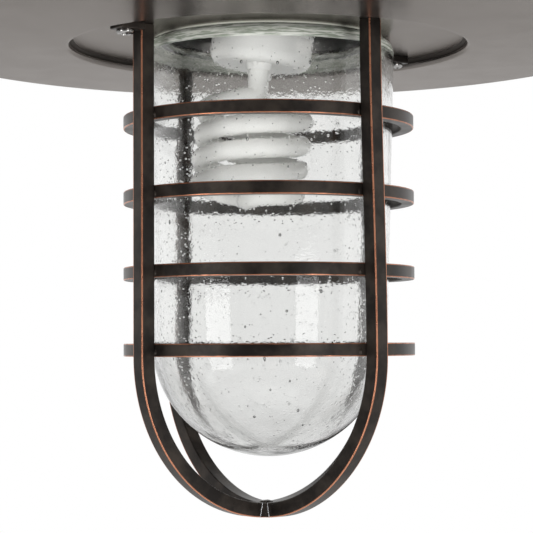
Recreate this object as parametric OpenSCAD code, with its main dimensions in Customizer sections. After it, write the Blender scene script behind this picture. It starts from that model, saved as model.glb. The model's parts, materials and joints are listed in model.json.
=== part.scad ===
// Ceiling fan with a caged jar light under a wide metal shade.
// Origin: centre of the hanger bracket's top face, on the ceiling plane. +Z is up, so the fan hangs below 0.

/* [Ceiling mount] */
// Distance between the two outlet box screws
box_screw_spacing = 88.9; // [83:0.1:96]
// Half width of the slots for the outlet box screws
box_slot_r = 2.6; // [2.2:0.1:3]
// End-to-end length of those slots
box_slot_len = 14; // [10:0.5:18]
// Radius of the canopy where it meets the ceiling
canopy_r = 75; // [72:1:95]
// Height of the canopy
canopy_h = 68; // [66:1:80]
// Wall of the pressed metal covers
sheet_t = 1.5; // [1:0.1:2]

/* [Downrod] */
// Depth of the hanger ball's centre below the ceiling
ball_drop = 44; // [43:0.5:48]
// Radius of the hanger ball
ball_r = 25; // [23.5:0.5:26]
// Outer radius of the downrod
rod_r = 10.65; // [9.5:0.05:11]
// Length of the downrod from the ball's centre to its lower end
rod_len = 112; // [105:1:450]

/* [Motor] */
// Outer radius of the hollow motor shaft
shaft_r = 8.5; // [8:0.1:9]
// Outer radius of the spinning motor shell
rotor_r = 88; // [82:1:95]
// Height of the spinning motor shell
rotor_h = 65; // [60:1:80]
// Outer radius of the fixed motor housing
housing_r = 100; // [98:1:125]

/* [Blades] */
// Number of blades is fixed at five; this is the sweep across the tips
sweep_d = 1372; // [1070:1:1680]
// Width of a blade near its tip
blade_tip_w = 142; // [110:1:160]
// Width of a blade at its root
blade_root_w = 116; // [90:1:140]
// Thickness of a blade
blade_t = 6; // [4.5:0.5:9]
// Pitch of the blades in degrees
blade_pitch = 13; // [8:1:15]

/* [Shade] */
// Outer radius of the flat metal shade
shade_r = 161; // [130:1:240]
// Radius of the recess in the middle of the shade
recess_r = 87.5; // [85:0.5:95]
// Depth of that recess
recess_h = 4; // [3:0.5:8]
// Sheet thickness of the shade
shade_t = 1.2; // [0.8:0.1:2]

/* [Light] */
// Largest outer radius of the glass jar, at its shoulder
jar_r = 55.7; // [52:0.1:57]
// Outer radius of the jar's round bottom
jar_low_r = 52; // [48:0.5:53]
// Height of the jar from the centre of its round bottom to its shoulder
jar_side_h = 124.6; // [110:0.1:160]
// Wall of the glass
jar_wall = 3.2; // [2.5:0.1:4]
// Outer diameter of the lamp's coil
coil_d = 53; // [44:0.5:56]
// Outer radius of the lamp's glass tube
lamp_tube_r = 4.6; // [3.5:0.1:4.7]
// Lean of the lamp in its holder, in degrees
lamp_lean = 6; // [0:0.5:6]

/* [Guard] */
// Outer radius of the guard rings
ring_r = 64; // [61:0.5:66]
// Side of the square rings
ring_s = 5.6; // [4:0.1:6.5]
// Side of the square guard bars
bar_s = 6.5; // [5:0.1:7]
// Distance from one guard ring to the next, and from the top one to the shade
ring_pitch = 33.2; // [28:0.1:40]
// Number of guard rings is fixed at four; this is the angle of the bars about the vertical axis
bar_angle = 39; // [0:1:89]

/* [Hidden] */
// Clearances and small sizes
$fn = 96;
face_gap = 0.3;     // between bodies that slide past each other
slip = 0.05;        // round a shaft, pin or screw
weld_gap = 0.05;    // between pieces that a weld bead joins
screw_r = 2.2;
screw_head_r = 3.8;
screw_head_h = 2.4;
big = 500;

// Ceiling bracket
plate_t = 2.5;
plate_w = 40;
tab_h = 16;
tab_w = 16;
leg_t = 3;
leg_w = 34;
leg_x = 36;
seat_top = -4;      // heights of the seat from the ball's centre
seat_bottom = -18;
seat_r = 37;
key_w = 5;
key_depth = 4;
canopy_neck_r = 27;
canopy_hole_r = rod_r + 4;
canopy_side_h = 26;
canopy_inner_r = canopy_r - sheet_t;
tab_x = sqrt(pow(canopy_inner_r - 0.3, 2) - pow(tab_w / 2, 2));
canopy_screw_z = -10;
canopy_ring_h = 4;
ball_z = -ball_drop;

// Yoke, rod and shaft, from the top down
rod_wall = 2.8;
rod_top = ball_z + 16;
rod_end = ball_z - rod_len;
yoke_r = 17;
yoke_grip = 28;
yoke_top = rod_end + yoke_grip;
yoke_flange_r = 36;
yoke_flange_t = 4;
yoke_foot = 16;
yoke_bottom = rod_end - yoke_foot;
housing_top = yoke_bottom + yoke_flange_t + sheet_t;
housing_screw_ring = 28;
cross_pin_r = 3;
clevis_z = rod_end + 12;
set_screw_z = rod_end + 21;
shaft_top = rod_end - 1;
shaft_bore_r = 6;
rotor_top_z = yoke_bottom - 6;
rotor_bottom_z = rotor_top_z - rotor_h;
rotor_mid_z = (rotor_top_z + rotor_bottom_z) / 2;
rotor_plate_t = 5;
rotor_wall = 6;
hub_r = 22;
hub_h = 14;
bearing_r = 17.5;
bearing_h = 10;
bearing_lip = 2;
core_h = 26;
core_r = rotor_r - rotor_wall - 15.5;
core_hub_h = 12;
air_gap = 0.5;
slot_count = 16;
slot_w = 5;
slot_depth = 22;
winding_h = 7;
housing_round_r = 28;
housing_bottom = rotor_bottom_z + 3;

// Blade irons and blades
iron_t = 4;
iron_w = 34;
iron_in_r = 44;
iron_screw_r = [56, 76];
pad_in_r = 150;
pad_out_r = 226;
pad_t = 3;
pad_w = 66;
blade_in_r = pad_in_r + 2;
blade_out_r = sweep_d / 2;
blade_corner_r = 22;
blade_drop = 8;     // blade's middle plane below the motor shell
blade_z = rotor_bottom_z - blade_drop;
blade_screws_at = [[174, -21], [174, 21], [212, 0]];
first_blade_angle = -90;
blade_count = 5;

// Light kit, from the shade's flat underside
shade_z = blade_z - 72;
shade_rise = 1.4;
floor_z = shade_z + recess_h;
floor_top = floor_z + shade_t;
kit_r = 70;
kit_flange_r = 82.5;
kit_top = rotor_bottom_z - iron_t - 14;
kit_wall = 1.2;
fastener_ring_r = 76.5;
spider_r = 34;
spider_h = 7;
shaft_bottom = kit_top - kit_wall - 8;
collar_h = 12.5;
collar_wall = 6;

// Glass jar
gasket_t = 0.8;
gasket_w = 3;
neck_r = 47.6;
neck_bore_r = 44;
neck_hole_r = neck_r + 0.6;
neck_h = 13.5;
shoulder_r = 6.6;
jar_top = floor_z - gasket_t;
jar_shoulder_z = jar_top - shoulder_r + 0.4;
jar_low_z = jar_shoulder_z - jar_side_h;

// Lamp and lampholder, in the leaning frame whose origin is the lampholder's middle
holder_z = floor_z + 22.9;
holder_r = 20;
holder_h = 24;
cap_r = 13;
cap_h = 24;
shell_t = 0.5;
ballast_r = 22.5;
ballast_bottom = -39;
ballast_top = -10;
ballast_neck_r = 15;
leg_r = 12.5;
coil_top = -47.5;
coil_bottom = -99.8;
coil_turns = 2;
tube_sides = 10;
bend_step = 12;
bracket_t = 1.5;
bracket_w = 16;

// Guard
bar_in_r = ring_r + weld_gap;
bar_mid_r = bar_in_r + bar_s / 2;
ring_count = 4;
ring_4_z = shade_z - ring_pitch * ring_count;
arch_z = ring_4_z - 2.8;
foot_len = 11;
foot_t = 3;
foot_w = 9;

// Reversing switch, on the side of the light kit that faces +Y
switch_z = (kit_top + floor_top) / 2;
switch_travel = 3;
knob_w = 4;
knob_h = 5;
knob_out = 3.5;
switch_w = 16;
switch_h = 24;
switch_depth = 12;

// Supply wires
wire_r = 1.1;
wire_sides = 8;
wire_high_y = rod_r - rod_wall - wire_r - 0.8;
wire_low_y = shaft_bore_r - wire_r - 1.6;

bronze = "#3a322c";
copper = "#b5734f";
steel = "#b9bcc0";
wood = "#4c3524";

// ---------- shared shapes ----------

// A ring of rectangular section between two heights
module ring(outer_r, inner_r, z_low, z_high) {
    translate([0, 0, z_low]) difference() {
        cylinder(r = outer_r, h = z_high - z_low);
        translate([0, 0, -1]) cylinder(r = inner_r, h = z_high - z_low + 2);
    }
}

// A cross pin along X, centred on the axis
module cross_pin(r, length, z) {
    translate([0, 0, z]) rotate([0, 90, 0]) cylinder(r = r, h = length, center = true);
}

// A pan-head screw at the origin, its head below 0 and its shank going up
module pan_screw(length, r = screw_r, head_r = screw_head_r, head_h = screw_head_h) {
    cylinder(r = r, h = length);
    translate([0, 0, -head_h]) difference() {
        cylinder(r = head_r, h = head_h);
        for (turn = [0, 90]) rotate([0, 0, turn])
            translate([-head_r * 0.6, -0.45, -1]) cube([head_r * 1.2, 0.9, 1 + head_h * 0.45]);
    }
}

function unit(v) = v / norm(v);
function tangents(path) = [for (i = [0:len(path) - 1])
    unit(path[min(i + 1, len(path) - 1)] - path[max(i - 1, 0)])];
function square_to(n, t) = unit(n - (n * t) * t);
// Normals carried along the path without twisting
function normals(ts) = [for (i = 0, n = square_to([0, 1, 0], ts[0]); i < len(ts);
    i = i + 1, n = i < len(ts) ? square_to(n, ts[i]) : n) n];

// A round tube along a path of points
module swept_tube(path, r, sides) {
    ts = tangents(path);
    ns = normals(ts);
    count = len(path);
    points = [for (i = [0:count - 1], k = [0:sides - 1])
        path[i] + r * (cos(k * 360 / sides) * ns[i] + sin(k * 360 / sides) * cross(ts[i], ns[i]))];
    walls = [for (i = [0:count - 2], k = [0:sides - 1])
        let (a = i * sides + k, b = i * sides + (k + 1) % sides)
        for (f = [[a, a + sides, b], [b, a + sides, b + sides]]) f];
    caps = [[for (k = [0:sides - 1]) k], [for (k = [sides - 1:-1:0]) (count - 1) * sides + k]];
    polyhedron(points = points, faces = concat(walls, caps));
}

// ---------- ceiling mount ----------

module box_slot(x) {
    reach = box_slot_len / 2 - box_slot_r;
    translate([x, 0, -plate_t - 1]) {
        for (s = [-1, 1]) translate([s * reach, 0, 0]) cylinder(r = box_slot_r, h = plate_t + 2);
        translate([-reach, -box_slot_r, 0]) cube([2 * reach, 2 * box_slot_r, plate_t + 2]);
    }
}

module ceiling_bracket() {
    color(steel) difference() {
        union() {
            intersection() {
                translate([0, 0, -plate_t]) cylinder(r = canopy_inner_r - 0.3, h = plate_t);
                translate([-tab_x, -plate_w / 2, -plate_t]) cube([2 * tab_x, plate_w, plate_t]);
            }
            for (s = [-1, 1]) {
                translate([s * (tab_x - 1), 0, -tab_h / 2]) cube([2, tab_w, tab_h], center = true);
                translate([s * (leg_x - leg_t / 2), 0, (ball_z + seat_bottom) / 2])
                    cube([leg_t, leg_w, -ball_z - seat_bottom], center = true);
            }
            ring(seat_r, ball_r - 1, ball_z + seat_bottom, ball_z + seat_top);
            translate([-key_w / 2 + face_gap, ball_r - key_depth + 1, ball_z + seat_bottom])
                cube([key_w - 2 * face_gap, seat_r - ball_r, seat_top - seat_bottom]);
        }
        difference() {
            translate([0, 0, ball_z]) sphere(r = ball_r + face_gap);
            translate([-key_w / 2 + face_gap, 0, ball_z - ball_r])
                cube([key_w - 2 * face_gap, ball_r * 2, ball_r * 2]);
        }
        translate([0, 0, ball_z]) sphere(r = ball_r - key_depth + face_gap);
        translate([-rod_r - 1.5, -seat_r - 1, ball_z + seat_bottom - 1]) cube([2 * rod_r + 3, seat_r + 1, 60]);
        for (s = [-1, 1]) box_slot(s * box_screw_spacing / 2);
        cross_pin(screw_r + slip, 2 * tab_x + 4, canopy_screw_z);
        translate([0, 0, -plate_t - 1]) cylinder(r = 12, h = plate_t + 2);
    }
}

// Outline of the canopy's outer face, from the ceiling to the neck
function canopy_outline(inset) = concat(
    [[canopy_r - inset, 0]],
    [for (a = [0:10:90]) [
        canopy_neck_r - inset + (canopy_r - canopy_neck_r) * cos(a),
        -canopy_side_h - (canopy_h - canopy_side_h - inset) * sin(a)
    ]]
);

module canopy() {
    color(bronze) difference() {
        rotate_extrude() difference() {
            polygon(concat([[0, 0]], canopy_outline(0), [[0, -canopy_h]]));
            polygon(concat([[0, 1], [canopy_inner_r, 1]], canopy_outline(sheet_t), [[0, sheet_t - canopy_h]]));
            translate([0, -canopy_h - 1]) square([canopy_hole_r, sheet_t + 2]);
        }
        cross_pin(screw_r + slip, 2 * canopy_r + 4, canopy_screw_z);
    }
}

module canopy_screws() {
    color(copper) for (s = [0, 180]) rotate([0, 0, s])
        translate([canopy_r, 0, canopy_screw_z]) rotate([0, -90, 0]) pan_screw(canopy_r - tab_x + 4);
}

module canopy_ring() {
    color(bronze) ring(canopy_neck_r + 3, canopy_hole_r, -canopy_h - canopy_ring_h, -canopy_h);
}

module remote_receiver() {
    color("#202020") translate([-leg_x + leg_t + 1, -plate_w / 2, -plate_t - 13])
        cube([2 * (leg_x - leg_t - 1), plate_w, 13]);
}

// ---------- hanging parts ----------

module hanger_ball() {
    color("#c9c6bd") difference() {
        intersection() {
            translate([0, 0, ball_z]) sphere(r = ball_r);
            translate([-ball_r, -ball_r, ball_z - ball_r + 5]) cube([2 * ball_r, 2 * ball_r, 2 * ball_r - 17]);
        }
        translate([0, 0, ball_z - ball_r]) cylinder(r = rod_r + slip, h = 2 * ball_r);
        cross_pin(cross_pin_r + slip, 2 * ball_r, ball_z + 2);
        translate([-key_w / 2, ball_r - key_depth, ball_z - ball_r]) cube([key_w, ball_r, 2 * ball_r]);
        translate([0, 0, ball_z - 4]) rotate([90, 0, 0]) cylinder(r = screw_r + slip, h = ball_r);
    }
}

module ball_pin() {
    color(steel) cross_pin(cross_pin_r, 2 * ball_r - 6, ball_z + 2);
}

// Grub screws: one in the ball, two in the yoke
module set_screws() {
    color(steel) {
        translate([0, -rod_r - slip, ball_z - 4]) rotate([90, 0, 0]) cylinder(r = screw_r, h = 8);
        for (s = [-1, 1]) translate([0, s * (rod_r + slip), set_screw_z])
            rotate([-s * 90, 0, 0]) cylinder(r = screw_r, h = yoke_r - rod_r);
    }
}

module downrod() {
    color(bronze) difference() {
        ring(rod_r, rod_r - rod_wall, rod_end, rod_top);
        for (z = [ball_z + 2, clevis_z]) cross_pin(cross_pin_r + slip, 3 * rod_r, z);
    }
}

module yoke() {
    color(bronze) difference() {
        union() {
            translate([0, 0, yoke_bottom]) cylinder(r = yoke_flange_r, h = yoke_flange_t);
            translate([0, 0, yoke_bottom]) cylinder(r = yoke_r, h = yoke_top - yoke_bottom);
        }
        translate([0, 0, rod_end]) cylinder(r = rod_r + slip, h = yoke_grip + 1);
        translate([0, 0, yoke_bottom - 1]) cylinder(r = shaft_r + slip, h = yoke_foot + 2);
        cross_pin(cross_pin_r + slip, 3 * yoke_r, clevis_z);
        translate([0, 0, set_screw_z]) rotate([90, 0, 0]) cylinder(r = screw_r + slip, h = 3 * yoke_r, center = true);
        for (turn = [45:90:315]) rotate([0, 0, turn])
            translate([housing_screw_ring, 0, yoke_bottom - 1]) cylinder(r = screw_r + slip, h = yoke_flange_t + 2);
    }
}

module clevis_pin() {
    color(steel) difference() {
        union() {
            cross_pin(cross_pin_r, 2 * yoke_r + 8, clevis_z);
            translate([-yoke_r - 4, 0, clevis_z]) rotate([0, -90, 0]) cylinder(r = cross_pin_r + 1.5, h = 1.5);
        }
        translate([yoke_r + 2, 0, clevis_z]) cylinder(r = 0.9, h = 10, center = true);
    }
}

module cotter_pin() {
    color(steel) translate([yoke_r + 2, 0, clevis_z]) {
        cylinder(r = 0.8, h = 12, center = true);
        translate([0, 0, 6]) rotate([0, 90, 0]) rotate_extrude($fn = 48) translate([2, 0]) circle(r = 0.8, $fn = 24);
    }
}

module yoke_cover() {
    cover_r = yoke_flange_r + 8;
    neck_r = rod_r + 4;
    top = yoke_top + 8;
    color(bronze) rotate_extrude() difference() {
        polygon([[0, housing_top], [cover_r, housing_top], [cover_r, housing_top + 4],
            [yoke_r + 9, yoke_top - 12], [yoke_r + 7, yoke_top], [neck_r, top], [0, top]]);
        polygon([[-1, housing_top - 1], [cover_r - sheet_t, housing_top - 1], [cover_r - sheet_t, housing_top + 3.4],
            [yoke_r + 9 - sheet_t, yoke_top - 12.6], [yoke_r + 7 - sheet_t, yoke_top - 1],
            [neck_r - 1, top - sheet_t], [-1, top - sheet_t]]);
        translate([0, yoke_top]) square([rod_r + 0.4, 20]);
    }
}

// ---------- motor ----------

module motor_shaft() {
    color(steel) ring(shaft_r, shaft_bore_r, shaft_bottom, shaft_top);
}

module stator_core() {
    color("#8c8f93") difference() {
        union() {
            ring(core_r, shaft_r + slip, rotor_mid_z - core_hub_h / 2, rotor_mid_z + core_hub_h / 2);
            ring(core_r, core_r - slot_depth - 12, rotor_mid_z - core_h / 2, rotor_mid_z + core_h / 2);
        }
        for (i = [0:slot_count - 1]) rotate([0, 0, (i + 0.5) * 360 / slot_count])
            translate([core_r - slot_depth, -slot_w / 2, rotor_mid_z - core_h])
                cube([slot_depth + 5, slot_w, 2 * core_h]);
    }
}

module stator_windings() {
    outer = core_r - 4;
    inner = outer - 16;
    color(copper) for (s = [-1, 1]) {
        low = rotor_mid_z + (s > 0 ? core_h / 2 : -core_h / 2 - winding_h);
        ring(outer, inner, low, low + winding_h);
    }
}

// Outline of the housing's outer face, from the top hole to the open bottom
function housing_outline(inset) = concat(
    [for (a = [90:-9:0]) [
        housing_r - housing_round_r + (housing_round_r - inset) * cos(a),
        housing_top - housing_round_r + (housing_round_r - inset) * sin(a)
    ]],
    [[housing_r - inset, housing_bottom]]
);

module motor_housing() {
    color(bronze) difference() {
        rotate_extrude() difference() {
            polygon(concat([[0, housing_top]], housing_outline(0), [[0, housing_bottom]]));
            polygon(concat([[-1, housing_top - sheet_t]], housing_outline(sheet_t),
                [[housing_r - sheet_t, housing_bottom - 1], [-1, housing_bottom - 1]]));
            translate([0, housing_top - 5]) square([yoke_r + 0.5, 10]);
        }
        for (turn = [45:90:315]) rotate([0, 0, turn])
            translate([housing_screw_ring, 0, housing_top - 5]) cylinder(r = screw_r + slip, h = 10);
    }
}

module housing_screws() {
    color(steel) for (turn = [45:90:315]) rotate([0, 0, turn])
        translate([housing_screw_ring, 0, housing_top]) rotate([180, 0, 0]) pan_screw(sheet_t + yoke_flange_t);
}

module rotor_half(plate_side, low, high) {
    plate_low = plate_side > 0 ? high - rotor_plate_t : low;
    hub_low = plate_side > 0 ? high - hub_h : low;
    seat_low = plate_side > 0 ? hub_low - 1 : low + bearing_lip;
    seat_high = plate_side > 0 ? high - bearing_lip : low + hub_h + 1;
    difference() {
        union() {
            ring(rotor_r, rotor_r - rotor_wall, low, high);
            translate([0, 0, plate_low]) cylinder(r = rotor_r, h = rotor_plate_t);
            translate([0, 0, hub_low]) cylinder(r = hub_r, h = hub_h);
        }
        translate([0, 0, low - 1]) cylinder(r = shaft_r + 2.5, h = high - low + 2);
        translate([0, 0, seat_low]) cylinder(r = bearing_r + slip, h = seat_high - seat_low);
        children();
    }
}

module rotor_top() {
    color("#9a9da1") rotor_half(1, rotor_mid_z, rotor_top_z)
        for (i = [0:7]) rotate([0, 0, i * 45 + 22.5])
            translate([45, 0, rotor_top_z - rotor_plate_t - 1]) cylinder(r = 9, h = rotor_plate_t + 2);
}

module rotor_bottom() {
    color("#9a9da1") rotor_half(-1, rotor_bottom_z, rotor_mid_z)
        for (i = [0:blade_count - 1], r = iron_screw_r) rotate([0, 0, first_blade_angle + i * 360 / blade_count])
            translate([r, 0, rotor_bottom_z - 1]) cylinder(r = screw_r + slip, h = rotor_plate_t + 2);
}

module rotor_ring() {
    color("#7d8085") ring(rotor_r - rotor_wall - slip, core_r + air_gap, rotor_mid_z - core_h / 2,
        rotor_mid_z + core_h / 2);
}

// The two ball bearings that the motor shell turns on
module bearings() {
    color(steel) {
        low = rotor_bottom_z + bearing_lip;
        ring(bearing_r, shaft_r + slip, low, low + bearing_h);
        high = rotor_top_z - bearing_lip;
        ring(bearing_r, shaft_r + slip, high - bearing_h, high);
    }
}

// ---------- blades ----------

module at_blade(i) {
    rotate([0, 0, first_blade_angle + (i - 1) * 360 / blade_count]) children();
}

module pitched() {
    translate([0, 0, blade_z]) rotate([blade_pitch, 0, 0]) children();
}

// Outline of the pad that carries a blade, a rounded triangle
module pad_outline() {
    hull() {
        for (s = [-1, 1]) translate([pad_in_r + 22, s * (pad_w / 2 - 12)]) circle(r = 12, $fn = 32);
        translate([pad_out_r - 12, 0]) circle(r = 12, $fn = 32);
        translate([pad_in_r - 4, -iron_w / 2 + 5]) square([4, iron_w - 10]);
    }
}

module blade_iron(i) {
    pad_low = -blade_t / 2 - pad_t;
    color(bronze) at_blade(i) difference() {
        union() {
            translate([iron_in_r, -iron_w / 2, rotor_bottom_z - iron_t]) cube([rotor_r + 8 - iron_in_r, iron_w, iron_t]);
            hull() {
                translate([rotor_r + 7, -iron_w / 2, rotor_bottom_z - iron_t]) cube([1, iron_w, iron_t]);
                pitched() translate([pad_in_r - 2, -iron_w / 2 + 5, pad_low]) cube([1, iron_w - 10, pad_t]);
            }
            pitched() translate([0, 0, pad_low]) linear_extrude(pad_t) pad_outline();
        }
        for (r = iron_screw_r) translate([r, 0, rotor_bottom_z - iron_t - 1]) cylinder(r = screw_r + slip, h = iron_t + 2);
        pitched() for (p = blade_screws_at) translate([p[0], p[1], pad_low - 1]) cylinder(r = screw_r + slip, h = pad_t + 2);
    }
}

module iron_screws() {
    color(steel) for (i = [1:blade_count], r = iron_screw_r) at_blade(i)
        translate([r, 0, rotor_bottom_z - iron_t]) pan_screw(iron_t + rotor_plate_t);
}

module blade_screws() {
    color(copper) for (i = [1:blade_count]) at_blade(i) pitched() for (p = blade_screws_at)
        translate([p[0], p[1], -blade_t / 2 - pad_t]) pan_screw(pad_t + blade_t - 1);
}

// Outline of a blade: it widens to the tip and all four corners are round
module blade_outline() {
    hull() for (s = [-1, 1]) {
        translate([blade_in_r + blade_corner_r, s * (blade_root_w / 2 - blade_corner_r)])
            circle(r = blade_corner_r, $fn = 48);
        translate([blade_out_r - blade_corner_r, s * (blade_tip_w / 2 - blade_corner_r)])
            circle(r = blade_corner_r, $fn = 48);
    }
}

module blade(i) {
    color(wood) at_blade(i) pitched() difference() {
        translate([0, 0, -blade_t / 2]) linear_extrude(blade_t) blade_outline();
        for (p = blade_screws_at) translate([p[0], p[1], -blade_t / 2 - 1]) cylinder(r = screw_r + slip, h = blade_t);
    }
}

// ---------- light kit ----------

// The threaded boss that screws on the shaft and carries the light kit
module lower_hub() {
    color("#9a9da1") ring(spider_r, shaft_r + slip, kit_top, kit_top + spider_h);
}

module shaft_nut() {
    color(steel) translate([0, 0, kit_top - kit_wall - 6]) difference() {
        cylinder(r = 15, h = 6, $fn = 6);
        translate([0, 0, -1]) cylinder(r = shaft_r + slip, h = 8);
    }
}

module at_fasteners(angles) {
    for (a = angles) rotate([0, 0, a]) translate([fastener_ring_r, 0, 0]) children();
}

foot_angles = [bar_angle, bar_angle + 180];
stud_angles = [for (k = [0:3]) bar_angle + 45 + 90 * k];

module switch_housing() {
    color(bronze) difference() {
        union() {
            translate([0, 0, floor_top]) cylinder(r = kit_r, h = kit_top - floor_top);
            translate([0, 0, floor_top]) cylinder(r = kit_flange_r, h = kit_wall);
        }
        translate([0, 0, floor_top - 1]) cylinder(r = kit_r - kit_wall, h = kit_top - kit_wall - floor_top + 1);
        translate([0, 0, kit_top - 5]) cylinder(r = shaft_r + slip, h = 10);
        at_fasteners(concat(foot_angles, stud_angles))
            translate([0, 0, floor_top - 1]) cylinder(r = screw_r + slip, h = 4);
        translate([-knob_w / 2 - face_gap, kit_r - 10, switch_z - knob_h / 2 - switch_travel - face_gap])
            cube([knob_w + 2 * face_gap, 20, knob_h + 2 * (switch_travel + face_gap)]);
    }
}

module capacitor() {
    color("#1c1c1e") translate([-54, -13, kit_top - kit_wall - 20]) cube([20, 26, 20]);
}

// Flat sheet shade with a shallow round recess, open in the middle for the jar's neck
module shade_disc() {
    bend_r = 1.2;
    color(bronze) difference() {
        rotate_extrude() polygon(concat(
            [[neck_hole_r, floor_z]],
            [for (a = [90:-15:0]) [recess_r - bend_r + bend_r * cos(a), floor_z - bend_r + bend_r * sin(a)]],
            [for (a = [180:15:270]) [recess_r + bend_r + bend_r * cos(a), shade_z + bend_r + bend_r * sin(a)]],
            [[shade_r - 3, shade_z + shade_rise - 0.1], [shade_r, shade_z + shade_rise]],
            [[shade_r, shade_z + shade_rise + shade_t], [recess_r + bend_r + shade_t, shade_z + shade_t]],
            [[recess_r + shade_t, shade_z + shade_t + bend_r], [recess_r + shade_t - 0.2, floor_top - 0.6]],
            [[recess_r - 0.4, floor_top], [neck_hole_r, floor_top]]
        ));
        at_fasteners(foot_angles) translate([0, 0, floor_z - 1]) cylinder(r = screw_r + slip, h = shade_t + 2);
    }
    color(bronze) at_fasteners(stud_angles) translate([0, 0, floor_top]) cylinder(r = 2, h = 7);
}

module shade_nuts() {
    color(steel) at_fasteners(stud_angles) translate([0, 0, floor_top + kit_wall]) difference() {
        cylinder(r = 4, h = 3.2, $fn = 6);
        translate([0, 0, -1]) cylinder(r = 2 + slip, h = 6);
    }
}

module glass_collar() {
    color("#2b2622") ring(neck_r + 0.4 + collar_wall, neck_r + 0.4, floor_top, floor_top + collar_h);
}

module glass_gasket() {
    color("#1a1a1a") ring(neck_r + 0.1 + gasket_w, neck_r + 0.1, floor_z - gasket_t, floor_z);
}

// Outline of the jar's outer face below the shoulder: a straight taper and a half-round bottom
module jar_outline(inset) {
    intersection() {
        union() {
            translate([0, jar_low_z]) circle(r = jar_low_r - inset);
            polygon([[0, jar_low_z], [jar_low_r - inset, jar_low_z], [jar_r - inset, jar_shoulder_z],
                [0, jar_shoulder_z]]);
            translate([0, jar_shoulder_z - 0.01]) square([jar_r - shoulder_r, shoulder_r - inset + 0.01]);
            translate([jar_r - shoulder_r, jar_shoulder_z]) circle(r = shoulder_r - inset);
        }
        translate([0, -big * 2]) square([big, big * 2]);
    }
}

module glass_jar() {
    color("#cfe3d8", 0.35) rotate_extrude() difference() {
        union() {
            intersection() {
                jar_outline(0);
                translate([0, -big * 2]) square([big, big * 2 + jar_top]);
            }
            translate([0, jar_top - 2]) square([neck_r, neck_h + 2]);
        }
        jar_outline(jar_wall);
        translate([0, jar_top - 8]) square([neck_bore_r, neck_h + 9]);
    }
}

// Everything below is placed in the lamp's own leaning frame
module in_lamp_frame() {
    translate([0, 0, holder_z]) rotate([0, lamp_lean, 0]) children();
}

module lampholder() {
    color("#e9e4d8") in_lamp_frame() difference() {
        translate([0, 0, -2]) cylinder(r = holder_r, h = holder_h);
        translate([0, 0, -3]) cylinder(r = cap_r + 0.3 + shell_t + slip, h = holder_h - 3);
    }
}

module screw_shell() {
    color("#c7a04a") in_lamp_frame() ring(cap_r + 0.3 + shell_t, cap_r + 0.3, -1, holder_h - 6);
}

module lampholder_bracket() {
    top = kit_top - kit_wall;
    plate_x = 25;
    color(steel) union() {
        in_lamp_frame() translate([-plate_x, -bracket_w / 2, holder_h - 2]) cube([2 * plate_x, bracket_w, bracket_t]);
        for (s = [-1, 1]) {
            tip = holder_z + (holder_h - 2) * cos(lamp_lean) - s * plate_x * sin(lamp_lean);
            x = s * (plate_x - 1.5) + (holder_h - 2) * sin(lamp_lean);
            translate([x - 1, -bracket_w / 2, tip]) cube([2, bracket_w, top - tip]);
        }
    }
}

module lamp_ballast() {
    color("#f4f3ee") in_lamp_frame() difference() {
        rotate_extrude() polygon([[0, ballast_bottom], [ballast_r - 1.5, ballast_bottom],
            [ballast_r, ballast_bottom + 1.5], [ballast_r, ballast_top - 11], [ballast_r - 1, ballast_top - 9.5],
            [ballast_neck_r, ballast_top - 2], [ballast_neck_r, ballast_top], [0, ballast_top]]);
        for (s = [-1, 1]) translate([0, s * leg_r, ballast_bottom - 1])
            cylinder(r = lamp_tube_r + slip, h = 5);
    }
}

module lamp_cap() {
    ridge = 0.6;
    color("#b8b4aa") in_lamp_frame() union() {
        translate([0, 0, ballast_top]) cylinder(r = cap_r - ridge, h = cap_h - 4);
        for (k = [0:4]) translate([0, 0, ballast_top + 4 + k * 3]) cylinder(r = cap_r, h = 1.5);
        translate([0, 0, ballast_top + cap_h - 4]) cylinder(r1 = cap_r - ridge, r2 = 5, h = 4);
    }
}

// Centre line of one strand of the coil, clockwise from its leg down to the middle of the bottom
strand_end = 360 * coil_turns;
coil_mid_r = coil_d / 2 - lamp_tube_r;
function ease(t) = let (s = min(1, max(0, t))) s * s * (3 - 2 * s);
function strand_r(a) = (leg_r + (coil_mid_r - leg_r) * ease(a / 70)) * sin(90 * min(1, (strand_end - a) / 110));
function strand_z(a) = coil_top - lamp_tube_r + 5 * (1 - ease(a / 60))
    + (coil_bottom - coil_top + 2 * lamp_tube_r) * ease(a / 50) * a / strand_end;
function strand(side) = concat(
    [[0, -side * leg_r, ballast_bottom + 3.5], [0, -side * leg_r, ballast_bottom - 1]],
    [for (a = [bend_step / 2:bend_step:strand_end - 1]) [
        -side * strand_r(a) * sin(a), -side * strand_r(a) * cos(a), strand_z(a)
    ]]
);
function reversed(list) = [for (i = [len(list) - 1:-1:0]) list[i]];

module lamp_tube() {
    color("#fbfaf5") in_lamp_frame()
        swept_tube(concat(strand(1), reversed(strand(-1))), lamp_tube_r, tube_sides);
}

// ---------- guard ----------

module cage_ring(i) {
    z = ring_4_z + (ring_count - i) * ring_pitch;
    color(bronze) ring(ring_r, ring_r - ring_s, z - ring_s / 2, z + ring_s / 2);
}

// One U of square bar: two uprights and a half-round arch, in the XZ plane
module u_bar() {
    for (s = [-1, 1]) translate([s * bar_mid_r - bar_s / 2, -bar_s / 2, arch_z])
        cube([bar_s, bar_s, floor_z - arch_z]);
    translate([0, 0, arch_z]) rotate([-90, 0, 0]) rotate_extrude(angle = 180)
        translate([bar_mid_r, 0]) square(bar_s, center = true);
}

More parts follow.
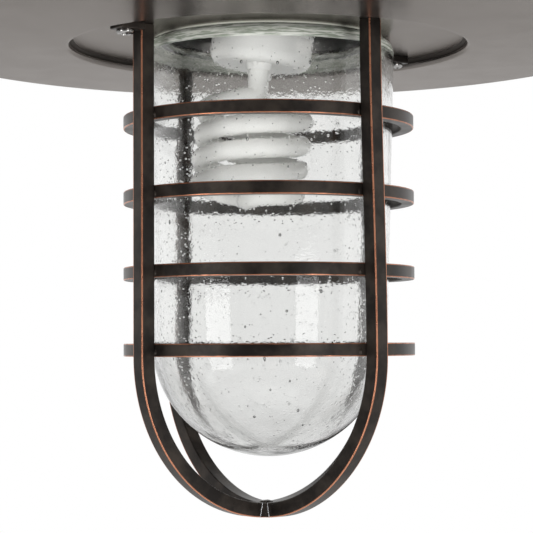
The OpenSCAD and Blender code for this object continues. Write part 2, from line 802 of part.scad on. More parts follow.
// The whole U, with a foot at each end that a screw holds to the shade
module cage_strap() {
    color(bronze) rotate([0, 0, bar_angle]) difference() {
        union() {
            u_bar();
            for (s = [0, 180]) rotate([0, 0, s])
                translate([bar_mid_r, -foot_w / 2, floor_z - foot_t]) cube([bar_s / 2 + foot_len, foot_w, foot_t]);
        }
        for (s = [0, 180]) rotate([0, 0, s])
            translate([fastener_ring_r, 0, floor_z - foot_t - 1]) cylinder(r = screw_r + slip, h = foot_t + 2);
    }
}

// The other U, cut in two where it meets the whole one at the bottom
module cage_bars() {
    color(bronze) rotate([0, 0, bar_angle + 90]) difference() {
        u_bar();
        translate([-bar_s / 2 - weld_gap, -big, arch_z - bar_mid_r - bar_s]) cube([bar_s + 2 * weld_gap, 2 * big, 2 * bar_s]);
    }
}

module cage_screws() {
    color(bronze) at_fasteners(foot_angles)
        translate([0, 0, floor_z - foot_t]) pan_screw(foot_t + shade_t + kit_wall + 4);
}

// ---------- reversing switch and wires ----------

function switch_front() = sqrt(pow(kit_r - kit_wall, 2) - pow(switch_w / 2, 2)) - slip;

module switch_body() {
    front = switch_front();
    color("#1c1c1e") difference() {
        translate([-switch_w / 2, front - switch_depth, switch_z - switch_h / 2])
            cube([switch_w, switch_depth, switch_h]);
        translate([-knob_w / 2 - face_gap, front - 4, switch_z - knob_h / 2 - switch_travel - face_gap])
            cube([knob_w + 2 * face_gap, 5, knob_h + 2 * (switch_travel + face_gap)]);
    }
}

module reverse_slider() {
    front = switch_front();
    color("#26262a") translate([-knob_w / 2, front - 4 + face_gap, switch_z - knob_h / 2])
        cube([knob_w, kit_r + knob_out - front + 4 - face_gap, knob_h]);
}

module supply_wires() {
    color("#2a2a2a") for (s = [-1, 1]) swept_tube([
        [0, s * (wire_high_y + 9), rod_top + 3.5],
        [0, s * (wire_high_y + 2), rod_top + 3],
        [0, s * wire_high_y, rod_top + 1],
        [0, s * wire_high_y, rod_end + 4],
        [0, s * wire_low_y, shaft_top - 1],
        [0, s * wire_low_y, shaft_bottom - 2]
    ], wire_r, wire_sides);
}

ceiling_bracket();
canopy();
canopy_screws();
canopy_ring();
remote_receiver();
hanger_ball();
ball_pin();
set_screws();
downrod();
yoke();
clevis_pin();
cotter_pin();
yoke_cover();
motor_shaft();
stator_core();
stator_windings();
motor_housing();
housing_screws();
lower_hub();
shaft_nut();
switch_housing();
capacitor();
switch_body();
reverse_slider();
shade_disc();
shade_nuts();
glass_collar();
glass_gasket();
glass_jar();
lampholder();
screw_shell();
lampholder_bracket();
lamp_ballast();
lamp_cap();
lamp_tube();
for (i = [1:ring_count]) cage_ring(i);
cage_strap();
cage_bars();
cage_screws();
supply_wires();
rotor_top();
rotor_bottom();
rotor_ring();
bearings();
iron_screws();
blade_screws();
for (i = [1:blade_count]) blade_iron(i);
for (i = [1:blade_count]) blade(i);
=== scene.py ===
"""Looks of a ceiling fan with a caged jar light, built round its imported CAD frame. Lengths are in metres."""
import json
import math
import random

import bpy
from mathutils import Matrix, Vector, noise
from mathutils.geometry import convex_hull_2d


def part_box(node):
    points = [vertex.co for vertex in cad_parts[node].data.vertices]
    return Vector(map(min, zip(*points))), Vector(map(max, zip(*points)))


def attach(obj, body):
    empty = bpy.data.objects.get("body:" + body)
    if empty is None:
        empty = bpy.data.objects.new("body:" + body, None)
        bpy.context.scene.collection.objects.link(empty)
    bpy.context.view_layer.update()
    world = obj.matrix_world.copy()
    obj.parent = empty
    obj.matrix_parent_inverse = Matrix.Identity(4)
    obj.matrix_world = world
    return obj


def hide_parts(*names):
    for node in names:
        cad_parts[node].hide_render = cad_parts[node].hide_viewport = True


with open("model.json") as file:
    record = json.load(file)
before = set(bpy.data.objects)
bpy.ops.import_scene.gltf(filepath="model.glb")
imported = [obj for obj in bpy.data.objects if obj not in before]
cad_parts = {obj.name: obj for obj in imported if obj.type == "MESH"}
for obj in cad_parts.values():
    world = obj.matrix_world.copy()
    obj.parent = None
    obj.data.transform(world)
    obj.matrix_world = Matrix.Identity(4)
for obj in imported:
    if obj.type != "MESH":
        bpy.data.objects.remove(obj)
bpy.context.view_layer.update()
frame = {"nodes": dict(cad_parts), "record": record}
nodes = frame["nodes"]
MM = 0.001
CRISP_R = 1.2 * MM
COVER_WEAR = 0.72

# ---------------- sizes from the frame


def low(node):
    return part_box(node)[0]


def high(node):
    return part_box(node)[1]


def mid_z(node):
    return (low(node).z + high(node).z) / 2


RING_R = high("cage_ring_1").x
RING_S = high("cage_ring_1").z - low("cage_ring_1").z
RING_4_Z = mid_z("cage_ring_4")
BAR_S = 6.5 * MM
BAR_MID_R = RING_R + 0.05 * MM + BAR_S / 2
BAR_ANGLE = math.radians(39)
FLOOR_Z = high("cage_strap").z
ARCH_Z = low("cage_strap").z + BAR_MID_R + BAR_S / 2
SHADE_Z = low("shade_disc").z
SHADE_R = high("shade_disc").x
SHADE_T = 1.2 * MM
SHADE_RISE = 1.4 * MM
RECESS_R = 87.5 * MM
FASTENER_R = 76.5 * MM
JAR_TOP = high("glass_jar").z - 13.5 * MM
JAR_R = high("glass_jar").x
JAR_LOW_R = 52 * MM
JAR_LOW_Z = low("glass_jar").z + JAR_LOW_R
JAR_WALL = 3.2 * MM
SHOULDER_R = 6.6 * MM
SHOULDER_Z = JAR_TOP - SHOULDER_R + 0.4 * MM
NECK_R = 47.6 * MM
NECK_BORE_R = 44 * MM
HOLDER_Z = FLOOR_Z + 22.9 * MM
LAMP_Z = mid_z("lamp_tube")
LAMP_LEAN = math.radians(6)
LAMP_FRAME = Matrix.Translation((0, 0, HOLDER_Z)) @ Matrix.Rotation(LAMP_LEAN, 4, "Y")
ROTOR_BOTTOM = low("rotor_bottom").z
IRON_T = 4 * MM
PITCH = math.radians(13)
BLADE_T = 6 * MM
BLADE_Z = ROTOR_BOTTOM - 8 * MM
BLADE_COUNT = 5
FIRST_BLADE = math.radians(-90)

# ---------------- mesh building


def signed_volume(verts, faces):
    total = 0.0
    for face in faces:
        a = verts[face[0]]
        for i in range(1, len(face) - 1):
            total += a.dot(verts[face[i]].cross(verts[face[i + 1]]))
    return total


class Shape:
    """Closed shells gathered into one piece. Each point carries a value that is 1 along an edge that hands rub bright,
    1 in the shade's recess corner where it marks painted shade, and 0 on a flat.
    """

    def __init__(self):
        self.verts, self.faces, self.wear_and_shade = [], [], []

    def add(self, part, place=None, hollow=False):
        verts, faces, wear_and_shade = part
        verts = [Vector(v) if place is None else place @ Vector(v) for v in verts]
        inward = signed_volume(verts, faces) < 0
        if inward != hollow:
            faces = [tuple(reversed(f)) for f in faces]
        start = len(self.verts)
        self.verts += verts
        self.faces += [tuple(i + start for i in f) for f in faces]
        self.wear_and_shade += list(wear_and_shade)
        return self

    def piece(self, name, material, body, slot, *replaced, sharp=32, at=None):
        mesh = bpy.data.meshes.new(name)
        mesh.from_pydata([tuple(v) for v in self.verts], [], self.faces)
        layer = mesh.attributes.new("wear_and_shade", "FLOAT", "POINT")
        layer.data.foreach_set("value", self.wear_and_shade)
        mesh.materials.append(material)
        mesh.shade_smooth()
        mesh.set_sharp_from_angle(angle=math.radians(sharp))
        piece = bpy.data.objects.new(name, mesh)
        bpy.context.scene.collection.objects.link(piece)
        if at is not None:
            piece.matrix_world = at
        if replaced:
            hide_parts(*replaced)
        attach(piece, body)
        return piece


def rounded(corners, radius, steps=4, support=0.6 * MM, closed=True):
    """An outline through corners (x, y) or (x, y, own radius).

    Each corner becomes a worn arc with a plain point on each side."""
    out = []
    count = len(corners)
    for i, corner in enumerate(corners):
        p = Vector(corner[:2])
        r = corner[2] if len(corner) > 2 else radius
        end = not closed and i in (0, count - 1)
        if r <= 0 or end:
            out.append((p.x, p.y, 0.0))
            continue
        a = Vector(corners[i - 1][:2]) - p
        b = Vector(corners[(i + 1) % count][:2]) - p
        room_a, room_b = a.length / 2, b.length / 2
        a.normalize()
        b.normalize()
        half = math.acos(max(-1, min(1, a.dot(b)))) / 2
        if half > math.radians(86):
            out.append((p.x, p.y, 0.0))
            continue
        tangent = min(r / math.tan(half), room_a * 0.8, room_b * 0.8)
        r = tangent * math.tan(half)
        centre = p + (a + b).normalized() * (r / math.sin(half))
        start = p + a * tangent - centre
        sweep_angle = math.pi - 2 * half
        turn = 1 if a.x * b.y - a.y * b.x < 0 else -1
        side = min(tangent + support, room_a * 0.95)
        out.append((*(p + a * side), 0.0))
        for k in range(steps + 1):
            angle = turn * sweep_angle * k / steps
            c, s = math.cos(angle), math.sin(angle)
            q = centre + Vector((start.x * c - start.y * s, start.x * s + start.y * c))
            out.append((q.x, q.y, min(1.0, CRISP_R / r)))
        side = min(tangent + support, room_b * 0.95)
        out.append((*(p + b * side), 0.0))
    return out


def loops_to_faces(rings, closed):
    """Faces between rings of vertex numbers; a ring of one is a pole."""
    faces = []
    following = rings[1:] + rings[:1] if closed else rings[1:]
    for a, b in zip(rings, following):
        if len(a) == 1 and len(b) == 1:
            continue
        n = max(len(a), len(b))
        for i in range(n):
            j = (i + 1) % n
            if len(a) == 1:
                faces.append((a[0], b[i], b[j]))
            elif len(b) == 1:
                faces.append((a[i], b[0], a[j]))
            else:
                faces.append((a[i], b[i], b[j], a[j]))
    return faces


def lathe(profile, segments=96, closed=True, warp=None):
    """Turns an outline of (radius, height, wear) about Z."""
    verts, wear_and_shade, rings = [], [], []
    for r, z, w in profile:
        ring = []
        for k in range(segments if r > 1e-7 else 1):
            angle = 2 * math.pi * k / segments
            p = Vector((r * math.cos(angle), r * math.sin(angle), z))
            ring.append(len(verts))
            verts.append(warp(p) if warp else p)
            wear_and_shade.append(w)
        rings.append(ring)
    return verts, loops_to_faces(rings, closed), wear_and_shade


def loft(sections):
    """Joins equal loops of (point, wear) and closes the two ends."""
    verts, wear_and_shade, rings = [], [], []
    for section in sections:
        rings.append(list(range(len(verts), len(verts) + len(section))))
        verts += [p for p, _ in section]
        wear_and_shade += [w for _, w in section]
    faces = loops_to_faces(rings, False) + [tuple(rings[0]), tuple(rings[-1])]
    return verts, faces, wear_and_shade


def sweep(outline, frames):
    """Carries an outline of (u, v, wear) along frames of (origin, u axis, v axis, scale, end wear)."""
    return loft([[(o + u * (a * s) + v * (b * s), max(w, e)) for a, b, w in outline]
                 for o, u, v, s, e in frames])


def tube(path, radius, sides=24):
    """A round tube along a path, its two ends closed flat."""
    frames = []
    side = None
    for i, p in enumerate(path):
        t = (path[min(i + 1, len(path) - 1)] - path[max(i - 1, 0)]).normalized()
        side = t.orthogonal().normalized() if side is None else (side - t * side.dot(t)).normalized()
        frames.append((p, side, t.cross(side), 1.0, 0.0))
    circle = [(radius * math.cos(2 * math.pi * k / sides), radius * math.sin(2 * math.pi * k / sides), 0.0)
              for k in range(sides)]
    return sweep(circle, frames)


def inset(outline, amount):
    """Moves each point of a closed outline inwards."""
    points = [Vector(p[:2]) for p in outline]
    area = sum(a.x * b.y - a.y * b.x for a, b in zip(points, points[1:] + points[:1]))
    turn = 1 if area > 0 else -1
    out = []
    for i, p in enumerate(points):
        along = points[(i + 1) % len(points)] - points[i - 1]
        normal = Vector((-along.y, along.x)).normalized() * turn
        out.append(p + normal * amount)
    return out


def unworn(outline):
    """The same outline with no rubbed edges."""
    return [(x, y, 0.0) for x, y, _ in outline]


def slab(outline, bottom, top, edge, support=0.8 * MM, steps=3):
    """A plate of the outline's shape with rounded, worn edges."""
    sections = []
    for end, way in ((bottom, 1), (top, -1)):
        levels = [(edge + support, 0.0, 0.0)]
        for k in range(steps + 1):
            a = math.pi / 2 * k / steps
            levels.append((edge * (1 - math.sin(a)), edge * (1 - math.cos(a)), 1.0))
        levels.append((0.0, edge + support / 2, 0.0))
        if way < 0:
            levels.reverse()
        for inward, up, w in levels:
            sections.append([(Vector((x, y, end + way * up)), w) for x, y in inset(outline, inward)])
    return loft(sections)


def block(centre, size, edge, support=0.6 * MM):
    """A box with rounded edges."""
    x, y, z = (s / 2 for s in size)
    outline = rounded([(-x, -y), (x, -y), (x, y), (-x, y)], edge, 3, support)
    verts, faces, wear_and_shade = slab(outline, -z, z, edge, support)
    return [v + Vector(centre) for v in verts], faces, wear_and_shade


def about_z(angle):
    return Matrix.Rotation(angle, 4, "Z")


def placed(part, matrix):
    return [matrix @ Vector(v) for v in part[0]], part[1], part[2]


def pan_head(radius, height, shank_r, shank_len, segments=32):
    """A domed screw head below the origin with a cross recess, and its shank going up."""
    rim = height * 0.38
    profile = [(0.0, shank_len, 0.0), (shank_r, shank_len, 0.0), (shank_r, 0.0, 0.0), (radius * 0.97, 0.0, 0.6),
               (radius, -0.1 * height, 1.0), (radius, -rim, 1.0)]
    for k in range(1, 7):
        a = math.pi / 2 * k / 6
        profile.append((radius * math.cos(a) ** 0.75, -rim - (height - rim) * math.sin(a), 0.8 if k < 4 else 0.0))
    profile[-1] = (radius * 0.12, -height, 0.0)

    def cross(p):
        r = math.hypot(p.x, p.y)
        if p.z > -rim or r > radius * 0.62:
            return p
        near = min(abs(p.x), abs(p.y))
        if near < radius * 0.17:
            return Vector((p.x, p.y, p.z + height * 0.45))
        return p

    fine = []
    for a, b in zip(profile, profile[1:]):
        fine.append(a)
        if a[1] < -rim * 0.9 and b[1] < -rim * 0.9:
            fine += [tuple(a[i] + (b[i] - a[i]) * t for i in range(3)) for t in (0.33, 0.67)]
    fine += [profile[-1], (0.0, -height, 0.0)]
    return lathe(fine, segments, closed=False, warp=cross)


# ---------------- materials


class Finish:
    """A procedural material: a Principled shader and short calls for the nodes that feed it."""

    def __init__(self, name, **sockets):
        self.material = bpy.data.materials.new(name)
        self.material.use_nodes = True
        self.tree = self.material.node_tree
        self.shader = self.tree.nodes["Principled BSDF"]
        self.place = self.node("ShaderNodeTexCoord").outputs["Object"]
        for socket, value in sockets.items():
            self.set(socket.replace("_", " "), value)

    def node(self, kind, **settings):
        made = self.tree.nodes.new(kind)
        for key, value in settings.items():
            setattr(made, key, value)
        return made

    def feed(self, socket, value):
        if isinstance(value, bpy.types.NodeSocket):
            self.tree.links.new(value, socket)
        else:
            socket.default_value = value

    def set(self, name, value):
        self.feed(self.shader.inputs[name], value)

    def stretched(self, x, y, z):
        made = self.node("ShaderNodeMapping")
        self.feed(made.inputs["Vector"], self.place)
        made.inputs["Scale"].default_value = (x, y, z)
        return made.outputs["Vector"]

    def radius(self):
        """Distance from the Z axis, as a vector that ring patterns read."""
        flat = self.node("ShaderNodeVectorMath", operation="MULTIPLY")
        self.feed(flat.inputs[0], self.place)
        flat.inputs[1].default_value = (1, 1, 0)
        size = self.node("ShaderNodeVectorMath", operation="LENGTH")
        self.feed(size.inputs[0], flat.outputs[0])
        return size.outputs["Value"]

    def noise(self, size, detail=3.0, rough=0.5, where=None, distortion=0.0, dims="3D"):
        made = self.node("ShaderNodeTexNoise", noise_dimensions=dims)
        if dims == "1D":
            self.feed(made.inputs["W"], where)
        else:
            self.feed(made.inputs["Vector"], where if where is not None else self.place)
        made.inputs["Scale"].default_value = 1 / size
        made.inputs["Detail"].default_value = detail
        made.inputs["Roughness"].default_value = rough
        made.inputs["Distortion"].default_value = distortion
        return made.outputs["Fac"]

    def cells(self, size):
        made = self.node("ShaderNodeTexVoronoi", feature="F1")
        self.feed(made.inputs["Vector"], self.place)
        made.inputs["Scale"].default_value = 1 / size
        return made.outputs["Distance"]

    def wear_and_shade(self):
        return self.node("ShaderNodeAttribute", attribute_name="wear_and_shade").outputs["Fac"]

    def span(self, value, from_low, from_high, to_low, to_high, smooth=False):
        made = self.node("ShaderNodeMapRange", interpolation_type="SMOOTHSTEP" if smooth else "LINEAR")
        for name, v in zip(("Value", "From Min", "From Max", "To Min", "To Max"),
                           (value, from_low, from_high, to_low, to_high)):
            self.feed(made.inputs[name], v)
        return made.outputs["Result"]

    def math(self, operation, a, b=0.0):
        made = self.node("ShaderNodeMath", operation=operation)
        self.feed(made.inputs[0], a)
        self.feed(made.inputs[1], b)
        return made.outputs[0]

    def mix(self, factor, a, b):
        made = self.node("ShaderNodeMix", data_type="RGBA")
        self.feed(made.inputs["Factor"], factor)
        self.feed(made.inputs[6], a if isinstance(a, bpy.types.NodeSocket) else (*a, 1))
        self.feed(made.inputs[7], b if isinstance(b, bpy.types.NodeSocket) else (*b, 1))
        return made.outputs[2]

    def bump(self, height, distance, strength=1.0, after=None):
        made = self.node("ShaderNodeBump")
        made.inputs["Strength"].default_value = strength
        made.inputs["Distance"].default_value = distance
        self.feed(made.inputs["Height"], height)
        if after is not None:
            self.feed(made.inputs["Normal"], after)
        return made.outputs["Normal"]


def bronze_finish():
    """Dark oil-rubbed bronze: brown-black faces, copper showing on the rubbed edges."""
    f = Finish("oil_rubbed_bronze")
    cloud = f.noise(14 * MM, 5, 0.6)
    fine = f.noise(0.9 * MM, 3, 0.6)
    face = f.mix(f.span(cloud, 0.35, 0.7, 0, 1, True), (0.021, 0.0175, 0.0155), (0.058, 0.047, 0.039))
    speck = f.span(f.noise(2.2 * MM, 4, 0.7), 0.68, 0.80, 0, 0.22, True)
    face = f.mix(speck, face, (0.16, 0.075, 0.045))
    rub = f.math("ADD", f.wear_and_shade(), f.math("MULTIPLY", f.math("SUBTRACT", f.noise(5 * MM, 4, 0.65), 0.5), 0.9))
    bare = f.span(rub, 0.50, 0.80, 0, 1, True)
    copper = f.mix(f.noise(3 * MM, 4, 0.6), (0.36, 0.135, 0.075), (0.72, 0.33, 0.20))
    f.set("Base Color", f.mix(bare, face, copper))
    f.set("Metallic", f.span(bare, 0, 1, 0.72, 0.9))
    rough = f.span(cloud, 0.3, 0.7, 0.28, 0.42)
    f.set("Roughness", f.math("SUBTRACT", rough, f.math("MULTIPLY", bare, 0.08)))
    f.set("Normal", f.bump(fine, 0.02 * MM, 0.35, f.bump(f.noise(4 * MM, 3, 0.5), 0.05 * MM, 0.4)))
    return f.material


def shade_finish():
    """Satin metallic bronze of the spun shade: faint lathe lines, and painted shade in the corner of its recess, a
    near-black colour standing in for the dark reflection of its wall.
    """
    f = Finish("satin_bronze_shade", Metallic=0.95, Specular_Tint=(0.80, 0.77, 0.745, 1))
    lines = f.noise(0.5 * MM, 2, 0.7, f.radius(), dims="1D")
    cloud = f.noise(60 * MM, 4, 0.55)
    clean = f.mix(f.span(cloud, 0.35, 0.65, 0, 1), (0.180, 0.163, 0.151), (0.205, 0.188, 0.176))
    # The marked recess corner is painted near black: painted shade standing in for the dark reflection of the recess
    # wall.
    f.set("Base Color", f.mix(f.wear_and_shade(), clean, (0.034, 0.030, 0.027)))
    satin = f.span(f.noise(14 * MM, 4, 0.6), 0.3, 0.7, 0.22, 0.27)
    f.set("Roughness", f.math("ADD", satin, f.math("MULTIPLY", f.wear_and_shade(), 0.25)))
    f.set("Normal", f.bump(lines, 0.004 * MM, 0.4, f.bump(cloud, 0.4 * MM, 0.08)))
    return f.material


def metal_finish(name, dark, light, rough=(0.25, 0.4), grain=1.2 * MM, depth=0.02 * MM):
    f = Finish(name, Metallic=1.0)
    cloud = f.noise(7 * MM, 4, 0.6)
    f.set("Base Color", f.mix(f.span(cloud, 0.3, 0.7, 0, 1), dark, light))
    f.set("Roughness", f.span(f.noise(3 * MM, 3, 0.6), 0.3, 0.7, *rough))
    f.set("Normal", f.bump(f.noise(grain, 3, 0.6), depth, 0.5))
    return f.material


def copper_screw_finish():
    f = Finish("antique_copper_screw", Metallic=0.95)
    rub = f.span(f.math("ADD", f.wear_and_shade(), f.math("MULTIPLY", f.noise(1.5 * MM, 3), 0.5)), 0.35, 1.1, 0, 1, True)
    f.set("Base Color", f.mix(rub, (0.07, 0.042, 0.03), (0.56, 0.25, 0.14)))
    f.set("Roughness", f.span(rub, 0, 1, 0.48, 0.26))
    f.set("Normal", f.bump(f.noise(0.7 * MM, 2), 0.02 * MM, 0.4))
    return f.material


def plastic_finish(name, dark, light, rough, coat=0.0, grain=0.35 * MM):
    f = Finish(name, Metallic=0.0, Coat_Weight=coat, Coat_Roughness=0.12)
    f.set("Base Color", f.mix(f.noise(12 * MM, 3), dark, light))
    f.set("Roughness", f.span(f.noise(4 * MM, 3), 0.3, 0.7, rough, rough + 0.08))
    f.set("Normal", f.bump(f.noise(grain, 2), 0.015 * MM, 0.5))
    return f.material


def tube_finish():
    """White phosphor seen through the lamp's glossy glass tube."""
    f = Finish("phosphor_tube", Coat_Weight=1.0, Coat_Roughness=0.03, Coat_IOR=1.5, Subsurface_Weight=0.25,
               Subsurface_Radius=(0.004, 0.004, 0.004), Subsurface_Scale=1.0)
    f.set("Base Color", f.mix(f.noise(6 * MM, 4, 0.6), (0.80, 0.80, 0.77), (0.93, 0.93, 0.91)))
    f.set("Roughness", f.span(f.noise(3 * MM, 2), 0.3, 0.7, 0.42, 0.5))
    f.set("Normal", f.bump(f.noise(5 * MM, 3), 0.08 * MM, 0.3))
    return f.material


def glass_finish():
    """Clear seeded glass: a wavy, faintly green wall full of fine bubbles."""
    f = Finish("seeded_glass", Transmission_Weight=1.0, IOR=1.5, Metallic=0.0)
    f.set("Base Color", f.mix(f.noise(20 * MM, 2), (0.915, 0.918, 0.908), (0.940, 0.942, 0.936)))
    f.set("Roughness", 0.0)
    ripple = f.noise(1.9 * MM, 3, 0.55, distortion=0.3)
    pit = f.span(f.cells(2.6 * MM), 0.05, 0.22, 1, 0, True)
    swell = f.noise(10 * MM, 1, 0.5, f.stretched(1, 1, 0.7))
    f.set("Normal", f.bump(pit, 0.06 * MM, 0.7, f.bump(ripple, 0.030 * MM, 1.0, f.bump(swell, 0.06 * MM, 1.0))))
    return f.material


def shoulder_finish():
    """The jar's thick drawn shoulder, half diffuse, paler and greener than the wall: its pale and dark fold bands are
    painted light standing in for the bright and dark lines its thick glass refracts.
    """
    f = Finish("shoulder_glass", Transmission_Weight=0.5, IOR=1.5, Metallic=0.0)
    folds_and_painted_refraction = f.noise(1.2 * MM, 4, 0.6, f.stretched(0.12, 0.12, 1.4), distortion=0.4)
    # Painted light: pale and dark bands standing in for the bright and dark lines that the thick shoulder glass
    # refracts.
    f.set("Base Color", f.mix(f.span(folds_and_painted_refraction, 0.40, 0.60, 0, 1, True), (0.36, 0.41, 0.33), (0.95, 0.97, 0.90)))
    f.set("Roughness", f.span(folds_and_painted_refraction, 0.3, 0.7, 0.04, 0.14))
    f.set("Normal", f.bump(folds_and_painted_refraction, 0.10 * MM, 0.8))
    return f.material


def wood_finish():
    """Dark weathered oak, its grain along the blade's own X axis."""
    f = Finish("weathered_oak")
    warp = f.noise(90 * MM, 3, 0.5, f.stretched(0.25, 1, 1))
    rings = f.noise(7 * MM, 6, 0.62, f.stretched(0.035, 1, 1), distortion=0.35)
    pores = f.noise(0.8 * MM, 4, 0.7, f.stretched(0.03, 1, 1))
    tone = f.math("ADD", f.math("MULTIPLY", rings, 0.75), f.math("MULTIPLY", warp, 0.35))
    wood = f.mix(f.span(tone, 0.38, 0.72, 0, 1, True), (0.045, 0.024, 0.014), (0.165, 0.092, 0.052))
    wood = f.mix(f.span(pores, 0.58, 0.72, 0, 0.75, True), wood, (0.02, 0.011, 0.007))
    wood = f.mix(f.span(f.noise(45 * MM, 4, 0.6, f.stretched(0.2, 1, 1)), 0.5, 0.75, 0, 0.35, True), wood,
                 (0.21, 0.17, 0.135))
    wood = f.mix(f.math("MULTIPLY", f.wear_and_shade(), 0.5), wood, (0.19, 0.12, 0.075))
    f.set("Base Color", wood)
    f.set("Roughness", f.span(rings, 0.3, 0.7, 0.5, 0.66))
    f.set("Normal", f.bump(pores, 0.12 * MM, 0.6, f.bump(rings, 0.25 * MM, 0.3)))
    return f.material


def coil_finish():
    """Enamelled copper wire, wound round the shaft."""
    f = Finish("wound_copper", Metallic=0.9)
    turns = f.noise(0.8 * MM, 1, 0.5, f.radius(), dims="1D")
    f.set("Base Color", f.mix(f.span(turns, 0.35, 0.65, 0, 1), (0.30, 0.095, 0.035), (0.66, 0.28, 0.13)))
    f.set("Roughness", 0.35)
    f.set("Normal", f.bump(turns, 0.25 * MM, 0.7))
    return f.material


def core_finish():
    """Stacked steel laminations."""
    f = Finish("laminated_core", Metallic=0.9)
    height = f.node("ShaderNodeSeparateXYZ")
    f.feed(height.inputs[0], f.place)
    sheets = f.noise(0.5 * MM, 1, 0.5, height.outputs["Z"], dims="1D")
    f.set("Base Color", f.mix(sheets, (0.09, 0.09, 0.095), (0.27, 0.27, 0.28)))
    f.set("Roughness", 0.45)
    f.set("Normal", f.bump(sheets, 0.1 * MM, 0.6))
    return f.material


FINISHES = {
    "bronze": bronze_finish(),
    "shade_bronze": shade_finish(),
    "copper_screw": copper_screw_finish(),
    "steel": metal_finish("zinc_plated_steel", (0.50, 0.51, 0.53), (0.66, 0.67, 0.69), rough=(0.26, 0.4)),
    "cast_alloy": metal_finish("cast_aluminium", (0.40, 0.405, 0.41), (0.58, 0.585, 0.59), rough=(0.42, 0.6),
                               grain=0.8 * MM, depth=0.08 * MM),
    "core_steel": core_finish(),
    "winding": coil_finish(),
    "shell_brass": metal_finish("lamp_brass", (0.56, 0.38, 0.14), (0.76, 0.56, 0.25), rough=(0.2, 0.3)),
    "black_plastic": plastic_finish("black_plastic", (0.014, 0.014, 0.015), (0.03, 0.03, 0.032), 0.42),
    "ball_nylon": plastic_finish("moulded_nylon", (0.55, 0.54, 0.50), (0.66, 0.65, 0.61), 0.38),
    "lamp_plastic": plastic_finish("ballast_plastic", (0.80, 0.80, 0.78), (0.88, 0.88, 0.86), 0.28, coat=0.4),
    "lamp_phosphor": tube_finish(),
    "porcelain": plastic_finish("glazed_porcelain", (0.66, 0.64, 0.58), (0.76, 0.74, 0.69), 0.16, coat=0.8,
                                grain=3 * MM),
    "seeded_glass": glass_finish(),
    "gasket_rubber": plastic_finish("silicone_gasket", (0.42, 0.43, 0.37), (0.56, 0.57, 0.50), 0.45),
    "blade_wood": wood_finish(),
}
shoulder_glass = shoulder_finish()
dark_nickel = metal_finish("dark_nickel", (0.22, 0.215, 0.21), (0.50, 0.49, 0.48), rough=(0.12, 0.24))

# Every CAD node takes its slot's finish, and it shows on those that nothing below replaces
for row in frame["record"]["subparts"]:
    mesh = nodes[row["node"]].data
    mesh.materials.clear()
    mesh.materials.append(FINISHES[row["material_slot"]])

BRONZE = FINISHES["bronze"]

# ---------------- guard


SWAY = math.radians(2.4)
CROSSING_SHIFT = Vector((-1.6 * MM, 0, 0))


def ease(t):
    c = min(1.0, max(0.0, t))
    return c * c * (3 - 2 * c)


def square_bar(size, outside, inside, edge=0.36 * MM, support=0.4 * MM):
    """A square outline whose outer corners (u > 0) are rubbed bright, and the inner ones hardly."""
    h = size / 2
    outline = rounded([(-h, -h), (h, -h), (h, h), (-h, h)], edge, 3, support)
    return [(u, v, w * (outside if u > 0 else inside)) for u, v, w in outline]


def guard_ring(i):
    z = mid_z(f"cage_ring_{i}")
    section = [(RING_R - RING_S / 2 + u, z + v, w) for u, v, w in square_bar(RING_S, 0.80, 0.4)]
    Shape().add(lathe(section, 224)).piece(f"guard_ring_{i}", BRONZE, "pendant", "bronze", f"cage_ring_{i}")


def u_frames(start, stop, count):
    """Frames down one side of the U, round its arch and up again, between two path angles in degrees."""
    frames = []
    for k in range(count + 1):
        a = math.radians(start + (stop - start) * k / count)
        out = Vector((math.cos(a), 0, -math.sin(a)))
        frames.append((Vector((0, 0, ARCH_Z)) + out * BAR_MID_R, out, Vector((0, 1, 0)), 1.0, 0.0))
    return frames


def upright(side, top_first):
    """Frames of the straight run on one side, with a small chamfer at the top."""
    out = Vector((side, 0, 0))
    levels = [(FLOOR_Z, 0.93, 0.3), (FLOOR_Z - 0.3 * MM, 1.0, 0.3), (FLOOR_Z - 1.2 * MM, 1.0, 0.0)]
    levels += [(FLOOR_Z + (ARCH_Z - FLOOR_Z) * k / 12, 1.0, 0.0) for k in range(1, 12)]
    frames = [(Vector((side * BAR_MID_R, 0, z)), out, Vector((0, 1, 0)), s, w) for z, s, w in levels]
    return frames if top_first else frames[::-1]


def swayed(frames, heading, plus, minus):
    """Turns the legs about Z, most at the arch, and shifts the crossing, as on a hand-welded guard."""
    shift = Matrix.Rotation(-heading, 3, "Z") @ CROSSING_SHIFT
    out = []
    for o, u, v, s, w in frames:
        down = ease((FLOOR_Z - o.z) / (FLOOR_Z - ARCH_Z))
        depth = max(0, ARCH_Z - o.z) / BAR_MID_R
        turn = Matrix.Rotation((plus if o.x > 0 else minus) * down * min(1, abs(o.x) / BAR_MID_R), 3, "Z")
        out.append((turn @ o + shift * depth * depth, turn @ u, turn @ v, s, w))
    return out


def guard_strap():
    turn = about_z(BAR_ANGLE)
    shape = Shape()
    frames = upright(1, True) + u_frames(0, 180, 96) + upright(-1, False)
    shape.add(sweep(square_bar(BAR_S, 1.0, 0.35), swayed(frames, BAR_ANGLE, SWAY, 0)), turn)
    foot_in, foot_out, foot_w, foot_t = BAR_MID_R + BAR_S * 0.3, BAR_MID_R + BAR_S / 2 + 11 * MM, 9 * MM, 3 * MM
    for flip in (0, math.pi):
        place = turn @ about_z(flip)
        corners = [(foot_in, -foot_w / 2, 0.2 * MM), (foot_out, -foot_w / 2), (foot_out, foot_w / 2),
                   (foot_in, foot_w / 2, 0.2 * MM)]
        foot = slab(rounded(corners, 1.0 * MM, 4), FLOOR_Z - foot_t, FLOOR_Z, 0.4 * MM)
        shape.add((foot[0], foot[1], [w * 0.3 for w in foot[2]]), place)
    shape.piece("guard_strap", BRONZE, "pendant", "bronze", "cage_strap")


